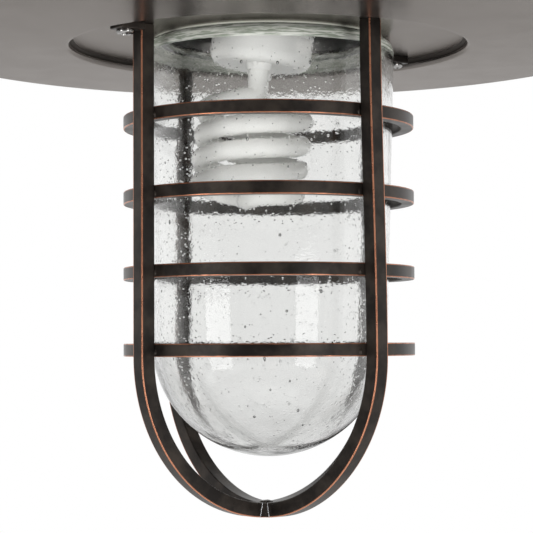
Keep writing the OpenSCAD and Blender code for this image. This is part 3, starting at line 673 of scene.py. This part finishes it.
def guard_bars():
    heading = BAR_ANGLE + math.pi / 2
    turn = about_z(heading)
    gap = math.degrees(math.asin((BAR_S / 2 + 0.05 * MM) / BAR_MID_R))
    shape = Shape()
    outline = square_bar(BAR_S, 1.0, 0.35)
    shape.add(sweep(outline, swayed(upright(1, True) + u_frames(0, 90 - gap, 48), heading, SWAY, SWAY)), turn)
    shape.add(sweep(outline, swayed(u_frames(90 + gap, 180, 48) + upright(-1, False), heading, SWAY, SWAY)), turn)
    shape.piece("guard_bars", BRONZE, "pendant", "bronze", "cage_bars")


def bead(centre, size, seed, rings=10, segments=14):
    """A lumpy weld bead."""
    profile = [(math.sin(math.pi * k / rings), -math.cos(math.pi * k / rings), 0.0) for k in range(rings + 1)]
    profile[0], profile[-1] = (0.0, -1.0, 0.0), (0.0, 1.0, 0.0)

    def lump(p):
        k = 1 + 0.22 * noise.noise(p * 1.7 + Vector((seed * 3.1, seed, 0)))
        return Vector((p.x * size[0], p.y * size[1], p.z * size[2])) * k

    return placed(lathe(profile, segments, closed=False, warp=lump), Matrix.Translation(centre))


def guard_welds():
    """Beads where the rings meet the bars, and fillets where the straps cross, edged with thin bright steel lines that
    are painted highlights on the fillets' rounded edges.
    """
    shape = Shape()
    for i in range(1, 5):
        z = mid_z(f"cage_ring_{i}")
        for k in range(4):
            turn = about_z(BAR_ANGLE + k * math.pi / 2)
            for side in (-1, 1):
                spot = (RING_R - 0.4 * MM, side * (BAR_S / 2 + 0.1 * MM), z - 0.8 * MM)
                shape.add(bead(spot, (1.0 * MM, 0.8 * MM, 1.5 * MM), i * 7 + k * 2 + side), turn)
    crossing = Matrix.Translation(CROSSING_SHIFT)
    base = low("cage_strap").z
    reach = BAR_S / 2 * math.sqrt(2)
    painted_highlight_lines = Shape()
    for k in range(4):
        turn = crossing @ about_z(BAR_ANGLE + math.pi / 4 + k * math.pi / 2)
        levels = [(base + 0.5 * MM, 2.0 * MM), (base + BAR_S * 0.5, 1.5 * MM), (base + BAR_S, 1.05 * MM)]
        sections = []
        for z, leg in levels:
            outline = [(reach - 0.4 * MM, 0), (reach + leg, leg), (reach + leg * 0.8, 0), (reach + leg, -leg)]
            sections.append([(Vector((x, y, z)), 0.0) for x, y in outline])
        shape.add(loft(sections), turn)
        # Thin bright steel lines along each fillet's two edges: painted highlights where light glints on the weld's
        # rounded edges.
        for side in (-1, 1):
            path = [Vector((reach + leg, side * leg, z)) for z, leg in levels]
            painted_highlight_lines.add(tube([path[0].lerp(path[1], t / 4) for t in range(4)]
                           + [path[1].lerp(path[2], t / 4) for t in range(5)], 0.22 * MM, 8), turn)
    shape.add(bead((0, 0, base + BAR_S), (3.2 * MM, 2.6 * MM, 0.9 * MM), 5), crossing)
    shape.piece("guard_welds", BRONZE, "pendant", "bronze")
    painted_highlight_lines.piece("guard_weld_highlight_lines", FINISHES["steel"], "pendant", "bronze")


SCREW_HEAD_R = 3.8 * MM
SCREW_HEAD_H = 2.4 * MM
SCREW_SHANK_R = 2.2 * MM
SCREW_TURN = 0.7


def screws(name, material, body, slot, places, shank_len, replaced):
    """Pan-head screws at these places, each turned a little further than the last."""
    head = pan_head(SCREW_HEAD_R, SCREW_HEAD_H, SCREW_SHANK_R, shank_len)
    shape = Shape()
    for k, place in enumerate(places):
        shape.add(head, place @ about_z(k * SCREW_TURN))
    shape.piece(name, material, body, slot, replaced, sharp=40)


for index in range(1, 5):
    guard_ring(index)
guard_strap()
guard_bars()
guard_welds()
screws("guard_screws", dark_nickel, "pendant", "bronze",
       [about_z(BAR_ANGLE + flip) @ Matrix.Translation((FASTENER_R, 0, FLOOR_Z - 3 * MM))
        for flip in (0, math.pi)], 9.4 * MM, "cage_screws")

# ---------------- shade


def shade():
    bend = 2.1 * MM
    floor_top = FLOOR_Z + SHADE_T
    hole = NECK_R + 0.6 * MM
    rim_z = SHADE_Z + SHADE_RISE
    corners = [
        (hole, FLOOR_Z, 0.3 * MM), (RECESS_R - 0.1 * MM, FLOOR_Z, bend), (RECESS_R + 0.3 * MM, SHADE_Z, bend),
        (SHADE_R - 0.2 * MM, rim_z - 0.05 * MM, 0.3 * MM), (SHADE_R, rim_z + 0.5 * MM, 0.3 * MM),
        (SHADE_R, rim_z + SHADE_T, 0.3 * MM), (RECESS_R + 1.6 * MM, SHADE_Z + SHADE_T, bend * 0.6),
        (RECESS_R + 0.2 * MM, floor_top, bend * 0.6), (hole, floor_top, 0.3 * MM)]
    profile = rounded(corners, bend, 9, 1.2 * MM)
    dense = []
    for a, b in zip(profile, profile[1:] + profile[:1]):
        # Points in the recess corner get 1: the shade's finish paints them near black, painted shade for the dark
        # reflection of the recess wall.
        painted_shade_band = RECESS_R - 2.3 * MM < a[0] < RECESS_R + 0.5 * MM and FLOOR_Z - 1.9 * MM < a[1] < FLOOR_Z
        dense.append((a[0], a[1], 1.0 if painted_shade_band else 0.0))
        steps = int(abs(b[0] - a[0]) / (12 * MM))
        dense += [(a[0] + (b[0] - a[0]) * k / (steps + 1), a[1] + (b[1] - a[1]) * k / (steps + 1), 0.0)
                  for k in range(1, steps + 1)]
    shape = Shape().add(lathe(dense, 256))
    stud_r, stud_top, stud_base = 2 * MM, 7 * MM, -0.3 * MM
    stud = rounded([(0, stud_base, 0), (stud_r, stud_base, 0), (stud_r, stud_top), (0, stud_top, 0)],
                   0.5 * MM, 3, 0.3 * MM)
    for k in range(4):
        turn = about_z(BAR_ANGLE + math.pi / 4 + k * math.pi / 2)
        shape.add(lathe(unworn(stud), 20, closed=False),
                  turn @ Matrix.Translation((FASTENER_R, 0, floor_top)))
    shape.piece("shade", FINISHES["shade_bronze"], "pendant", "shade_bronze", "shade_disc", sharp=28)


shade()

# ---------------- jar


def arc(cx, cz, r, start, stop, steps):
    return [(cx + r * math.cos(math.radians(start + (stop - start) * k / steps)),
             cz + r * math.sin(math.radians(start + (stop - start) * k / steps)), 0.0) for k in range(steps + 1)]


def line(a, b, steps):
    return [(a[0] + (b[0] - a[0]) * k / steps, a[1] + (b[1] - a[1]) * k / steps, 0.0) for k in range(1, steps)]


def jar_profile():
    top = high("glass_jar").z
    outer = arc(0, JAR_LOW_Z, JAR_LOW_R, -90, 0, 40)
    outer[0] = (0.0, JAR_LOW_Z - JAR_LOW_R, 0.0)
    outer += line((JAR_LOW_R, JAR_LOW_Z), (JAR_R, SHOULDER_Z), 44)
    outer += arc(JAR_R - SHOULDER_R, SHOULDER_Z, SHOULDER_R, 0, 82, 9)
    under_shoulder = SHOULDER_Z + SHOULDER_R - JAR_WALL + 0.9 * MM
    corners = [(NECK_R + 1.0 * MM, JAR_TOP - 0.2 * MM, 0), (NECK_R, JAR_TOP + 0.8 * MM), (NECK_R, top - 1.5 * MM),
               (NECK_R - 0.4 * MM, top), (NECK_BORE_R + 0.4 * MM, top), (NECK_BORE_R, top - 1.5 * MM),
               (NECK_BORE_R, under_shoulder, 0)]
    lip = rounded(corners, 0.8 * MM, 3, 0.4 * MM, closed=False)
    inner_r = JAR_R - JAR_WALL
    inner = arc(JAR_R - SHOULDER_R, SHOULDER_Z, SHOULDER_R - JAR_WALL, 98, 0, 10)
    inner += line((inner_r, SHOULDER_Z), (JAR_LOW_R - JAR_WALL, JAR_LOW_Z), 44)
    bottom = arc(0, JAR_LOW_Z, JAR_LOW_R - JAR_WALL, 0, -90, 36)
    bottom[-1] = (0.0, JAR_LOW_Z - JAR_LOW_R + JAR_WALL, 0.0)
    return outer, lip, inner + bottom


def blown(wall_amount, size, seed, base_amount):
    """Pushes a point of the wall in or out a little, as blown glass is uneven, most of all in its round base."""
    def move(p):
        if p.z > JAR_TOP - 4 * MM:
            return p
        base = ease((JAR_LOW_Z - 12 * MM - p.z) / (30 * MM))
        amount = wall_amount + (base_amount - wall_amount) * base
        n = noise.noise(Vector((p.x, p.y, p.z * 0.6)) / size + Vector((seed, 0, 0)))
        n += 0.5 * noise.noise(p / (size * 0.4) + Vector((0, seed, 0)))
        axis = Vector((p.x, p.y, min(0, p.z - JAR_LOW_Z)))
        return p + axis.normalized() * (n * amount) if axis.length > 1e-6 else p
    return move


def bubble(centre, radius, stretch, segments=6, rings=4):
    profile = [(radius * math.sin(math.pi * k / rings), -radius * stretch * math.cos(math.pi * k / rings), 0.0)
               for k in range(rings + 1)]
    profile[0], profile[-1] = (0.0, -radius * stretch, 0.0), (0.0, radius * stretch, 0.0)
    return placed(lathe(profile, segments, closed=False), Matrix.Translation(centre))


JAR_SEGMENTS = 200
BUBBLE_COUNT = 2100
LARGE_BUBBLE_EVERY = 22
BUBBLE_COVER = 1.1 * MM


def jar():
    outer, lip, inner = jar_profile()
    push_out = blown(0.05 * MM, 24 * MM, 3.0, 0.10 * MM)
    push_in = blown(0.07 * MM, 18 * MM, 9.0, 0.24 * MM)
    verts, faces, wear_and_shade = lathe(outer + lip + inner, JAR_SEGMENTS, closed=False)
    outer_verts = 1 + (len(outer) - 1) * JAR_SEGMENTS
    verts = [push_out(v) if i < outer_verts else push_in(v) for i, v in enumerate(verts)]
    shape = Shape().add((verts, faces, wear_and_shade))
    draw = random.Random(12)
    slope = (JAR_R - JAR_LOW_R) / (JAR_TOP - JAR_LOW_Z)
    highest = JAR_TOP - 10 * MM
    for k in range(BUBBLE_COUNT):
        angle = draw.uniform(0, 2 * math.pi)
        z = highest - (highest - JAR_LOW_Z + JAR_LOW_R * 0.85) * draw.random() ** 1.25
        if z < JAR_LOW_Z:
            outer_r = math.sqrt(JAR_LOW_R ** 2 - (z - JAR_LOW_Z) ** 2)
        else:
            outer_r = JAR_LOW_R + (z - JAR_LOW_Z) * slope
        start = Vector((math.cos(angle) * outer_r, math.sin(angle) * outer_r, z))
        direction = Vector((start.x, start.y, min(0, z - JAR_LOW_Z))).normalized()
        size = draw.uniform(0.09, 0.24) * MM if k % LARGE_BUBBLE_EVERY else draw.uniform(0.4, 0.65) * MM
        depth = draw.uniform(BUBBLE_COVER, JAR_WALL - BUBBLE_COVER)
        shape.add(bubble(start - direction * depth, size, draw.uniform(1.0, 1.7)), hollow=True)
    piece = shape.piece("seeded_jar", FINISHES["seeded_glass"], "pendant", "seeded_glass", "glass_jar", sharp=60)
    piece.visible_shadow = False
    # The shoulder's upward faces take the shoulder glass, whose pale and dark bands are painted light for what its
    # thick glass refracts.
    piece.data.materials.append(shoulder_glass)
    for face in piece.data.polygons:
        if SHOULDER_Z < face.center.z < JAR_TOP and face.normal.z > 0:
            face.material_index = 1


jar()

# ---------------- lamp


BALLAST_BOTTOM = -35.7 * MM
BALLAST_TOP = -10 * MM
BALLAST_R = 22.5 * MM
COIL_TOP = -47.5 * MM
COIL_BOTTOM = -99.8 * MM
TUBE_R = 4.35 * MM
COIL_MID_R = 21.9 * MM
LEG_R = 12.5 * MM
STRAND_END = 720
START_RISE = 1.7 * MM
END_RISE = 0.8 * MM


def strand(side):
    """Centre line of one strand, from its leg, clockwise down to the middle of the bottom."""
    def point(a):
        r = (LEG_R + (COIL_MID_R - LEG_R) * ease(a / 70)) * math.sin(math.pi / 2 * min(1, (STRAND_END - a) / 110))
        z = COIL_TOP - TUBE_R + (COIL_BOTTOM - COIL_TOP + 2 * TUBE_R) * ease(a / 50) * a / STRAND_END
        z += START_RISE * (1 - ease(a / 90)) + END_RISE * ease((a - STRAND_END + 120) / 120)
        return Vector((-side * r * math.sin(math.radians(a)), -side * r * math.cos(math.radians(a)), z))

    leg = [Vector((0, -side * LEG_R, z * MM)) for z in (-32.5, -36, -39.5, -43, -46.5)]
    knee = Vector((0, -side * LEG_R, COIL_TOP - TUBE_R + START_RISE))
    after = point(24)
    bend = [leg[-1].lerp(knee, t / 6).lerp(knee.lerp(after, t / 6), t / 6) for t in range(1, 6)]
    return leg + bend + [point(k * STRAND_END / 120) for k in range(4, 120)]


def lamp():
    path = strand(1) + strand(-1)[::-1]
    Shape().add(tube(path, TUBE_R, 28), LAMP_FRAME).piece(
        "lamp_coil", FINISHES["lamp_phosphor"], "pendant", "lamp_phosphor", "lamp_tube")
    low_edge, seam_r, cap_r = BALLAST_BOTTOM, BALLAST_R - 0.4 * MM, 15 * MM
    corners = [(0, low_edge, 0), (BALLAST_R, low_edge + 0.6 * MM, 7.5 * MM), (BALLAST_R, low_edge + 13 * MM, 0.3 * MM),
               (seam_r, low_edge + 13.3 * MM, 0.2 * MM), (seam_r, low_edge + 14 * MM, 0.2 * MM),
               (BALLAST_R, low_edge + 14.3 * MM, 0.3 * MM), (BALLAST_R, BALLAST_TOP - 5 * MM, 3 * MM),
               (cap_r, BALLAST_TOP - 2 * MM, 1.2 * MM), (cap_r, BALLAST_TOP, 0.3 * MM), (0, BALLAST_TOP, 0)]
    ballast = lathe(unworn(rounded(corners, 0.5 * MM, 5, 0.4 * MM)), 96, closed=False)
    shape = Shape().add(ballast, LAMP_FRAME)
    for side in (-1, 1):
        collar = rounded([(TUBE_R + 0.1 * MM, 0.4 * MM, 0.1 * MM), (TUBE_R + 1.3 * MM, 0.4 * MM, 0),
                          (TUBE_R + 0.9 * MM, -2.6 * MM), (TUBE_R + 0.1 * MM, -2.8 * MM)], 0.5 * MM, 3, 0.2 * MM)
        shape.add(lathe(unworn(collar), 32),
                  LAMP_FRAME @ Matrix.Translation((0, side * LEG_R, BALLAST_BOTTOM)))
    shape.piece("lamp_body", FINISHES["lamp_plastic"], "pendant", "lamp_plastic", "lamp_ballast")
    bore, side_r, base, top = 13.9 * MM, 20 * MM, -2 * MM, 22 * MM
    holder = rounded([(bore, base), (side_r, base), (side_r, 16 * MM), (16.5 * MM, top), (3 * MM, top),
                      (3 * MM, 19.2 * MM, 0.3 * MM), (bore, 19 * MM, 0.3 * MM)], 1.2 * MM, 4, 0.5 * MM)
    Shape().add(lathe(unworn(holder), 96), LAMP_FRAME).piece(
        "porcelain_holder", FINISHES["porcelain"], "pendant", "porcelain", "lampholder")


lamp()

# ---------------- covers and rod


TRIM_HOLE_R = 14.65 * MM
HOUSING_HOLE_R = 17.5 * MM
CUP_HOLE_R = 8.55 * MM


def cover(name, corners, body, replaced, radius=1.2 * MM):
    """A turned bronze cover, its edges a little less rubbed than the guard's."""
    outline = [(r, z, w * COVER_WEAR) for r, z, w in rounded(corners, radius, 4, 1.0 * MM)]
    Shape().add(lathe(outline, 192)).piece(name, BRONZE, body, "bronze", replaced)


def canopy():
    r_top, r_neck, side, total = high("canopy").x, 27 * MM, -26 * MM, low("canopy").z
    hole = TRIM_HOLE_R
    outer = [(hole, total, 0.35 * MM), (r_neck - 1.5 * MM, total, 1.2 * MM)]
    for k in range(9, -1, -1):
        a = math.radians(10 * k)
        outer.append((r_neck + (r_top - r_neck) * math.cos(a), side + (total - side) * math.sin(a), 0))
    outer += [(r_top, -3.2 * MM, 0.4 * MM), (r_top - 0.5 * MM, -2.6 * MM, 0.3 * MM), (r_top, -2.0 * MM, 0.4 * MM),
              (r_top, 0, 0.35 * MM)]
    wall = 1.5 * MM
    inner = [(r_top - wall, 0, 0.35 * MM), (r_top - wall, side, 0)]
    for k in range(1, 10):
        a = math.radians(10 * k)
        inner.append((r_neck - wall + (r_top - r_neck) * math.cos(a), side + (total + wall - side) * math.sin(a), 0))
    inner += [(hole, total + wall, 0.35 * MM)]
    cover("canopy_shell", outer + inner, "ceiling_mount", "canopy")


def small_covers():
    lo_z, hi_z = low("canopy_ring").z, high("canopy_ring").z
    r = high("canopy_ring").x
    cover("canopy_trim", [(TRIM_HOLE_R, lo_z, 0.6 * MM), (r - 2 * MM, lo_z, 1.6 * MM), (r, lo_z + 1.8 * MM, 1.0 * MM),
                          (r, hi_z, 0.3 * MM), (TRIM_HOLE_R, hi_z, 0.3 * MM)], "ceiling_mount", "canopy_ring")
    rod_lo, rod_hi = low("downrod").z, high("downrod").z
    r = high("downrod").x
    bore = r - 2.8 * MM
    cover("hanging_rod", [(bore, rod_lo), (r, rod_lo), (r, rod_hi), (bore, rod_hi)], "pendant", "downrod", 0.5 * MM)
    base, top = low("yoke_cover").z, high("yoke_cover").z
    r = high("yoke_cover").x
    yoke_top = top - 8 * MM
    wall = 1.5 * MM
    hole, collar_r = 11.05 * MM, 14.65 * MM
    outer = [(hole, top, 0.35 * MM), (collar_r, top, 1.5 * MM), (24 * MM, yoke_top, 3 * MM),
             (26 * MM, yoke_top - 12 * MM, 6 * MM), (33 * MM, base + 9 * MM, 6 * MM), (r, base + 4 * MM, 1.0 * MM),
             (r, base, 0.35 * MM)]
    inner = [(r - wall, base, 0.35 * MM), (r - wall, base + 3.4 * MM, 0.5 * MM), (31.8 * MM, base + 8 * MM, 4 * MM),
             (24.5 * MM, yoke_top - 12.6 * MM, 4 * MM), (22.5 * MM, yoke_top - 1 * MM, 2 * MM),
             (13.6 * MM, top - wall, 1 * MM), (hole, top - wall, 0.35 * MM)]
    cover("rod_cover", outer + inner, "pendant", "yoke_cover")


def housing():
    r, top, bottom = high("motor_housing").x, high("motor_housing").z, low("motor_housing").z
    curve, wall = 28 * MM, 1.5 * MM
    outer = [(HOUSING_HOLE_R, top, 0.4 * MM), (50 * MM, top, 0), (52 * MM, top, 0.5 * MM),
             (53 * MM, top - 0.7 * MM, 0.5 * MM), (54 * MM, top, 0.5 * MM)]
    for a in range(90, -1, -6):
        c, s = math.cos(math.radians(a)), math.sin(math.radians(a))
        outer.append((r - curve + curve * c, top - curve + curve * s, 0))
    for z in (bottom + 14 * MM, bottom + 8 * MM):
        outer += [(r, z + 0.8 * MM, 0.35 * MM), (r - 0.7 * MM, z, 0.35 * MM), (r, z - 0.8 * MM, 0.35 * MM)]
    outer.append((r, bottom, 0.5 * MM))
    inner = [(r - wall, bottom, 0.5 * MM)]
    for a in range(0, 91, 6):
        c, s = math.cos(math.radians(a)), math.sin(math.radians(a))
        inner.append((r - curve + (curve - wall) * c, top - curve + (curve - wall) * s, 0))
    inner.append((HOUSING_HOLE_R, top - wall, 0.4 * MM))
    cover("motor_cover", outer + inner, "pendant", "motor_housing", 0.5 * MM)


def light_kit():
    r, flange = 70 * MM, high("switch_housing").x
    base, top = low("switch_housing").z, high("switch_housing").z
    wall = 1.2 * MM
    seam_r = r - 0.6 * MM
    outer = [(CUP_HOLE_R, top, 0.3 * MM), (r, top, 3 * MM), (r, base + 44 * MM, 0.35 * MM),
             (seam_r, base + 43.3 * MM, 0.3 * MM), (r, base + 42.6 * MM, 0.35 * MM), (r, base + 8 * MM, 0.35 * MM),
             (seam_r, base + 7.3 * MM, 0.3 * MM), (r, base + 6.6 * MM, 0.35 * MM), (r, base + wall, 1.0 * MM),
             (flange, base + wall, 0.45 * MM), (flange, base, 0.3 * MM)]
    inner = [(r - wall, base, 0.3 * MM), (r - wall, top - wall, 2 * MM), (CUP_HOLE_R, top - wall, 0.3 * MM)]
    cover("light_kit_cup", outer + inner, "pendant", "switch_housing", 0.5 * MM)
    cup = bpy.data.objects["light_kit_cup"]
    z = mid_z("reverse_slider")
    # The cut marks the switch's slot, but the wall inside its outline stays: the knob passes through it
    cutter_shape = Shape().add(block((0, r, z), (4.6 * MM, 12 * MM, 11.6 * MM), 0.4 * MM))
    cutter = bpy.data.meshes.new("slot_cutter")
    cutter.from_pydata([tuple(v) for v in cutter_shape.verts], [], cutter_shape.faces)
    tool = bpy.data.objects.new("slot_cutter", cutter)
    bpy.context.scene.collection.objects.link(tool)
    cut = cup.modifiers.new("slot", "BOOLEAN")
    cut.object = tool
    cut.operation = "DIFFERENCE"
    cut.solver = "EXACT"
    made = bpy.data.meshes.new_from_object(cup.evaluated_get(bpy.context.evaluated_depsgraph_get()))
    cup.modifiers.clear()
    cup.data = made
    bpy.data.objects.remove(tool)
    lo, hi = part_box("reverse_slider")
    knob = Shape().add(block((lo + hi) / 2, (hi.x - lo.x, hi.y - lo.y, hi.z - lo.z), 0.4 * MM, 0.3 * MM))
    rib = (hi.x - lo.x - 0.6 * MM, 0.5 * MM, 0.5 * MM)
    for k in (-1, 0, 1):
        knob.add(block((0, hi.y, z + k * 1.2 * MM), rib, 0.12 * MM, 0.1 * MM))
    knob.piece("switch_knob_cap", FINISHES["black_plastic"], "switch_knob", "black_plastic", "reverse_slider")


canopy()
small_covers()
housing()
light_kit()

# ---------------- blades and irons

PAD_IN, PAD_OUT, PAD_T, PAD_W = 150 * MM, 226 * MM, 3 * MM, 66 * MM
IRON_W = 34 * MM
IRON_IN, IRON_CORNER, IRON_FLAT, IRON_TWIST, IRON_NECK = 44 * MM, 5 * MM, 95 * MM, 53 * MM, 12 * MM
BLADE_IN, BLADE_OUT = 152 * MM, 686 * MM
ROOT_W, TIP_W, CORNER = 116 * MM, 142 * MM, 22 * MM
BLADE_SCREWS = [(174 * MM, -21 * MM), (174 * MM, 21 * MM), (212 * MM, 0.0)]
IRON_SCREWS = (56 * MM, 76 * MM)
PITCHED = Matrix.Translation((0, 0, BLADE_Z)) @ Matrix.Rotation(PITCH, 4, "X")


def at_blade(i):
    return about_z(FIRST_BLADE + (i - 1) * 2 * math.pi / BLADE_COUNT)


def circle_points(x, y, r, count=48):
    return [Vector((x + r * math.cos(2 * math.pi * k / count), y + r * math.sin(2 * math.pi * k / count)))
            for k in range(count)]


def hull_of(points):
    return [points[i] for i in convex_hull_2d(points)]


def blade_outline():
    points = []
    for s in (-1, 1):
        points += circle_points(BLADE_IN + CORNER, s * (ROOT_W / 2 - CORNER), CORNER)
        points += circle_points(BLADE_OUT - CORNER, s * (TIP_W / 2 - CORNER), CORNER)
    outline = hull_of(points)
    dense = []
    for a, b in zip(outline, outline[1:] + outline[:1]):
        steps = int((b - a).length / (30 * MM))
        dense += [a + (b - a) * (k / (steps + 1)) for k in range(steps + 1)]
    return [(p.x, p.y, 0.0) for p in dense]


def blade(i):
    shape = Shape().add(slab(blade_outline(), -BLADE_T / 2, BLADE_T / 2, 1.4 * MM, 2.0 * MM, 4))
    shape.piece(f"wood_blade_{i}", FINISHES["blade_wood"], "rotor", "blade_wood", f"blade_{i}",
                at=at_blade(i) @ PITCHED)


def pad_half_width(x, hull):
    best = 0.0
    for a, b in zip(hull, hull[1:] + hull[:1]):
        lo_x, hi_x = min(a.x, b.x), max(a.x, b.x)
        if lo_x <= x <= hi_x and hi_x > lo_x:
            best = max(best, a.y + (b.y - a.y) * (x - a.x) / (b.x - a.x))
    return best


def iron(i):
    pad_hull = hull_of(circle_points(PAD_IN + 22 * MM, PAD_W / 2 - 12 * MM, 12 * MM)
                       + circle_points(PAD_IN + 22 * MM, 12 * MM - PAD_W / 2, 12 * MM)
                       + circle_points(PAD_OUT - 12 * MM, 0, 12 * MM)
                       + [Vector((PAD_IN - 4 * MM, y)) for y in (-12 * MM, 12 * MM)])
    root_z = ROTOR_BOTTOM - IRON_T / 2
    pad_z = -BLADE_T / 2 - PAD_T / 2
    stations = [(IRON_IN + 0.5 * MM * k, 0.0) for k in (0, 1, 3, 6)]
    stations += [(x * MM, 0.0) for x in (52, 60, 70, 80, 90, 95)]
    stations += [(IRON_FLAT + IRON_TWIST * k / 10, k / 10) for k in range(1, 11)]
    stations += [(PAD_IN + (PAD_OUT - PAD_IN) * math.sin(math.pi / 2 * k / 26), 1.0) for k in range(1, 26)]
    stations.append((PAD_OUT - 0.15 * MM, 1.0))
    sections = []
    for x, blend in stations:
        if x > PAD_IN - 2.1 * MM:
            half = max(pad_half_width(x, pad_hull), 0.9 * MM)
        elif blend > 0:
            half = IRON_W / 2 + (IRON_NECK - IRON_W / 2) * ease(blend)
        else:
            back = max(0.0, IRON_IN + IRON_CORNER - x)
            half = IRON_W / 2 - IRON_CORNER + math.sqrt(max(0, IRON_CORNER * IRON_CORNER - back * back))
        thick = IRON_T + (PAD_T - IRON_T) * ease(blend)
        tilt = PITCH * ease(blend)
        flat = Vector((x, 0, root_z))
        sloped = PITCHED @ Vector((x, 0, pad_z))
        centre = flat.lerp(sloped, ease(blend))
        across = Vector((0, math.cos(tilt), math.sin(tilt)))
        up = Vector((0, -math.sin(tilt), math.cos(tilt)))
        outline = rounded([(-half, -thick / 2), (half, -thick / 2), (half, thick / 2), (-half, thick / 2)],
                          0.7 * MM, 3, min(1.2 * MM, half * 0.4))
        end = 1.0 if x < IRON_IN + 0.3 * MM or x > PAD_OUT - 0.3 * MM else 0.0
        sections.append([(centre + across * u + up * v, max(w, end)) for u, v, w in outline])
    Shape().add(loft(sections), at_blade(i)).piece(f"iron_arm_{i}", BRONZE, "rotor", "bronze", f"blade_iron_{i}")


for index in range(1, BLADE_COUNT + 1):
    iron(index)
    blade(index)

screws("motor_screws", FINISHES["steel"], "rotor", "steel",
       [at_blade(i) @ Matrix.Translation((r, 0, ROTOR_BOTTOM - IRON_T)) for i in range(1, BLADE_COUNT + 1)
        for r in IRON_SCREWS], 9 * MM, "iron_screws")
screws("pad_screws", FINISHES["copper_screw"], "rotor", "copper_screw",
       [at_blade(i) @ PITCHED @ Matrix.Translation((x, y, -BLADE_T / 2 - PAD_T)) for i in range(1, BLADE_COUNT + 1)
        for x, y in BLADE_SCREWS], 8 * MM, "blade_screws")
canopy_side = Matrix.Translation((high("canopy").x, 0, -10 * MM)) @ Matrix.Rotation(-math.pi / 2, 4, "Y")
screws("canopy_side_screws", FINISHES["copper_screw"], "ceiling_mount", "copper_screw",
       [about_z(turn) @ canopy_side for turn in (0, math.pi)], 6.2 * MM, "canopy_screws")

# ---------------- stage, light and camera


def stage():
    radius, room_height, sides = 4.5, 2.44, 128
    mesh = bpy.data.meshes.new("floor")
    z = -room_height
    turns = [2 * math.pi * k / sides for k in range(sides)]
    mesh.from_pydata([(radius * math.cos(a), radius * math.sin(a), z) for a in turns], [], [tuple(range(sides))])
    floor = bpy.data.objects.new("floor", mesh)
    f = Finish("pale_floor", Roughness=0.85)
    f.set("Base Color", f.mix(f.noise(1.5, 2), (0.86, 0.86, 0.855), (0.89, 0.89, 0.885)))
    mesh.materials.append(f.material)
    bpy.context.scene.collection.objects.link(floor)


def area_light(name, place, target, size, power):
    data = bpy.data.lights.new(name, "AREA")
    data.shape = "RECTANGLE"
    data.size, data.size_y = size
    data.energy = power
    lamp_object = bpy.data.objects.new(name, data)
    lamp_object.location = place
    lamp_object.rotation_euler = (Vector(target) - Vector(place)).to_track_quat("-Z", "Y").to_euler()
    lamp_object.visible_camera = False
    lamp_object.visible_transmission = False
    bpy.context.scene.collection.objects.link(lamp_object)
    return lamp_object


def lighting():
    """A white backdrop, a dimmer room in front, two softboxes that the jar mirrors and two fills that it does not."""
    world = bpy.data.worlds.new("studio")
    bpy.context.scene.world = world
    world.use_nodes = True
    tree = world.node_tree

    def ramp(value, *ends):
        """A smooth step of the value, from the first two ends to the last two."""
        made = tree.nodes.new("ShaderNodeMapRange")
        made.interpolation_type = "SMOOTHSTEP"
        tree.links.new(value, made.inputs["Value"])
        for name, end in zip(("From Min", "From Max", "To Min", "To Max"), ends):
            made.inputs[name].default_value = end
        return made.outputs["Result"]

    def combined(operation, a, b):
        made = tree.nodes.new("ShaderNodeMath")
        made.operation = operation
        tree.links.new(a, made.inputs[0])
        tree.links.new(b, made.inputs[1])
        return made.outputs[0]

    place = tree.nodes.new("ShaderNodeTexCoord").outputs["Generated"]
    facing = tree.nodes.new("ShaderNodeVectorMath")
    facing.operation = "DOT_PRODUCT"
    facing.inputs[1].default_value = (0.30, 0.95, 0)
    tree.links.new(place, facing.inputs[0])
    height = tree.nodes.new("ShaderNodeSeparateXYZ")
    tree.links.new(place, height.inputs[0])
    room = ramp(facing.outputs["Value"], -0.55, 0.20, 0.22, 1.0)
    below = ramp(height.outputs["Z"], -0.20, 0.04, 0.68, 1.0)
    seen = tree.nodes.new("ShaderNodeLightPath").outputs["Is Camera Ray"]
    background = tree.nodes["Background"]
    background.inputs["Color"].default_value = (1, 1, 1, 1)
    tree.links.new(combined("MAXIMUM", combined("MULTIPLY", room, below), seen), background.inputs["Strength"])
    area_light("softbox_left", (-1.66, -1.44, -1.03), (0, 0, -1.03), (0.95, 1.1), 12.5)
    area_light("softbox_right", (1.29, -1.78, -1.00), (0, 0, -1.00), (0.85, 1.1), 11)
    for name, side in (("fill_left", -1.5), ("fill_right", 1.4)):
        fill = area_light(name, (side, -1.7, -0.62), (0, 0, LAMP_Z), (1.1, 1.1), 24)
        fill.visible_glossy = False
    area_light("overhead", (0.2, 0.3, 1.8), (0, 0, -0.3), (2.4, 2.4), 30)


def camera():
    """The photograph's viewpoint: nearly level with the guard's lowest ring, looking slightly up."""
    distance, height = 12.4165 * RING_R, 0.0511 * RING_R
    pitch, roll = math.radians(2.40), math.radians(0.244)
    forward = Vector((0, math.cos(pitch), math.sin(pitch)))
    right, up = Vector((1, 0, 0)), Vector((0, -math.sin(pitch), math.cos(pitch)))
    side = right * math.cos(roll) - up * math.sin(roll)
    top = right * math.sin(roll) + up * math.cos(roll)
    data = bpy.data.cameras.new("camera")
    data.sensor_width = 36
    data.lens = 121.7
    data.shift_x = -0.0046
    data.clip_start, data.clip_end = 0.05, 60
    eye = bpy.data.objects.new("camera", data)
    turn = Matrix((side, top, -forward)).transposed().to_4x4()
    eye.matrix_world = Matrix.Translation((0, -distance, RING_4_Z + height)) @ turn
    bpy.context.scene.collection.objects.link(eye)
    bpy.context.scene.camera = eye
    bpy.context.scene.view_settings.view_transform = "Standard"


stage()
lighting()
camera()
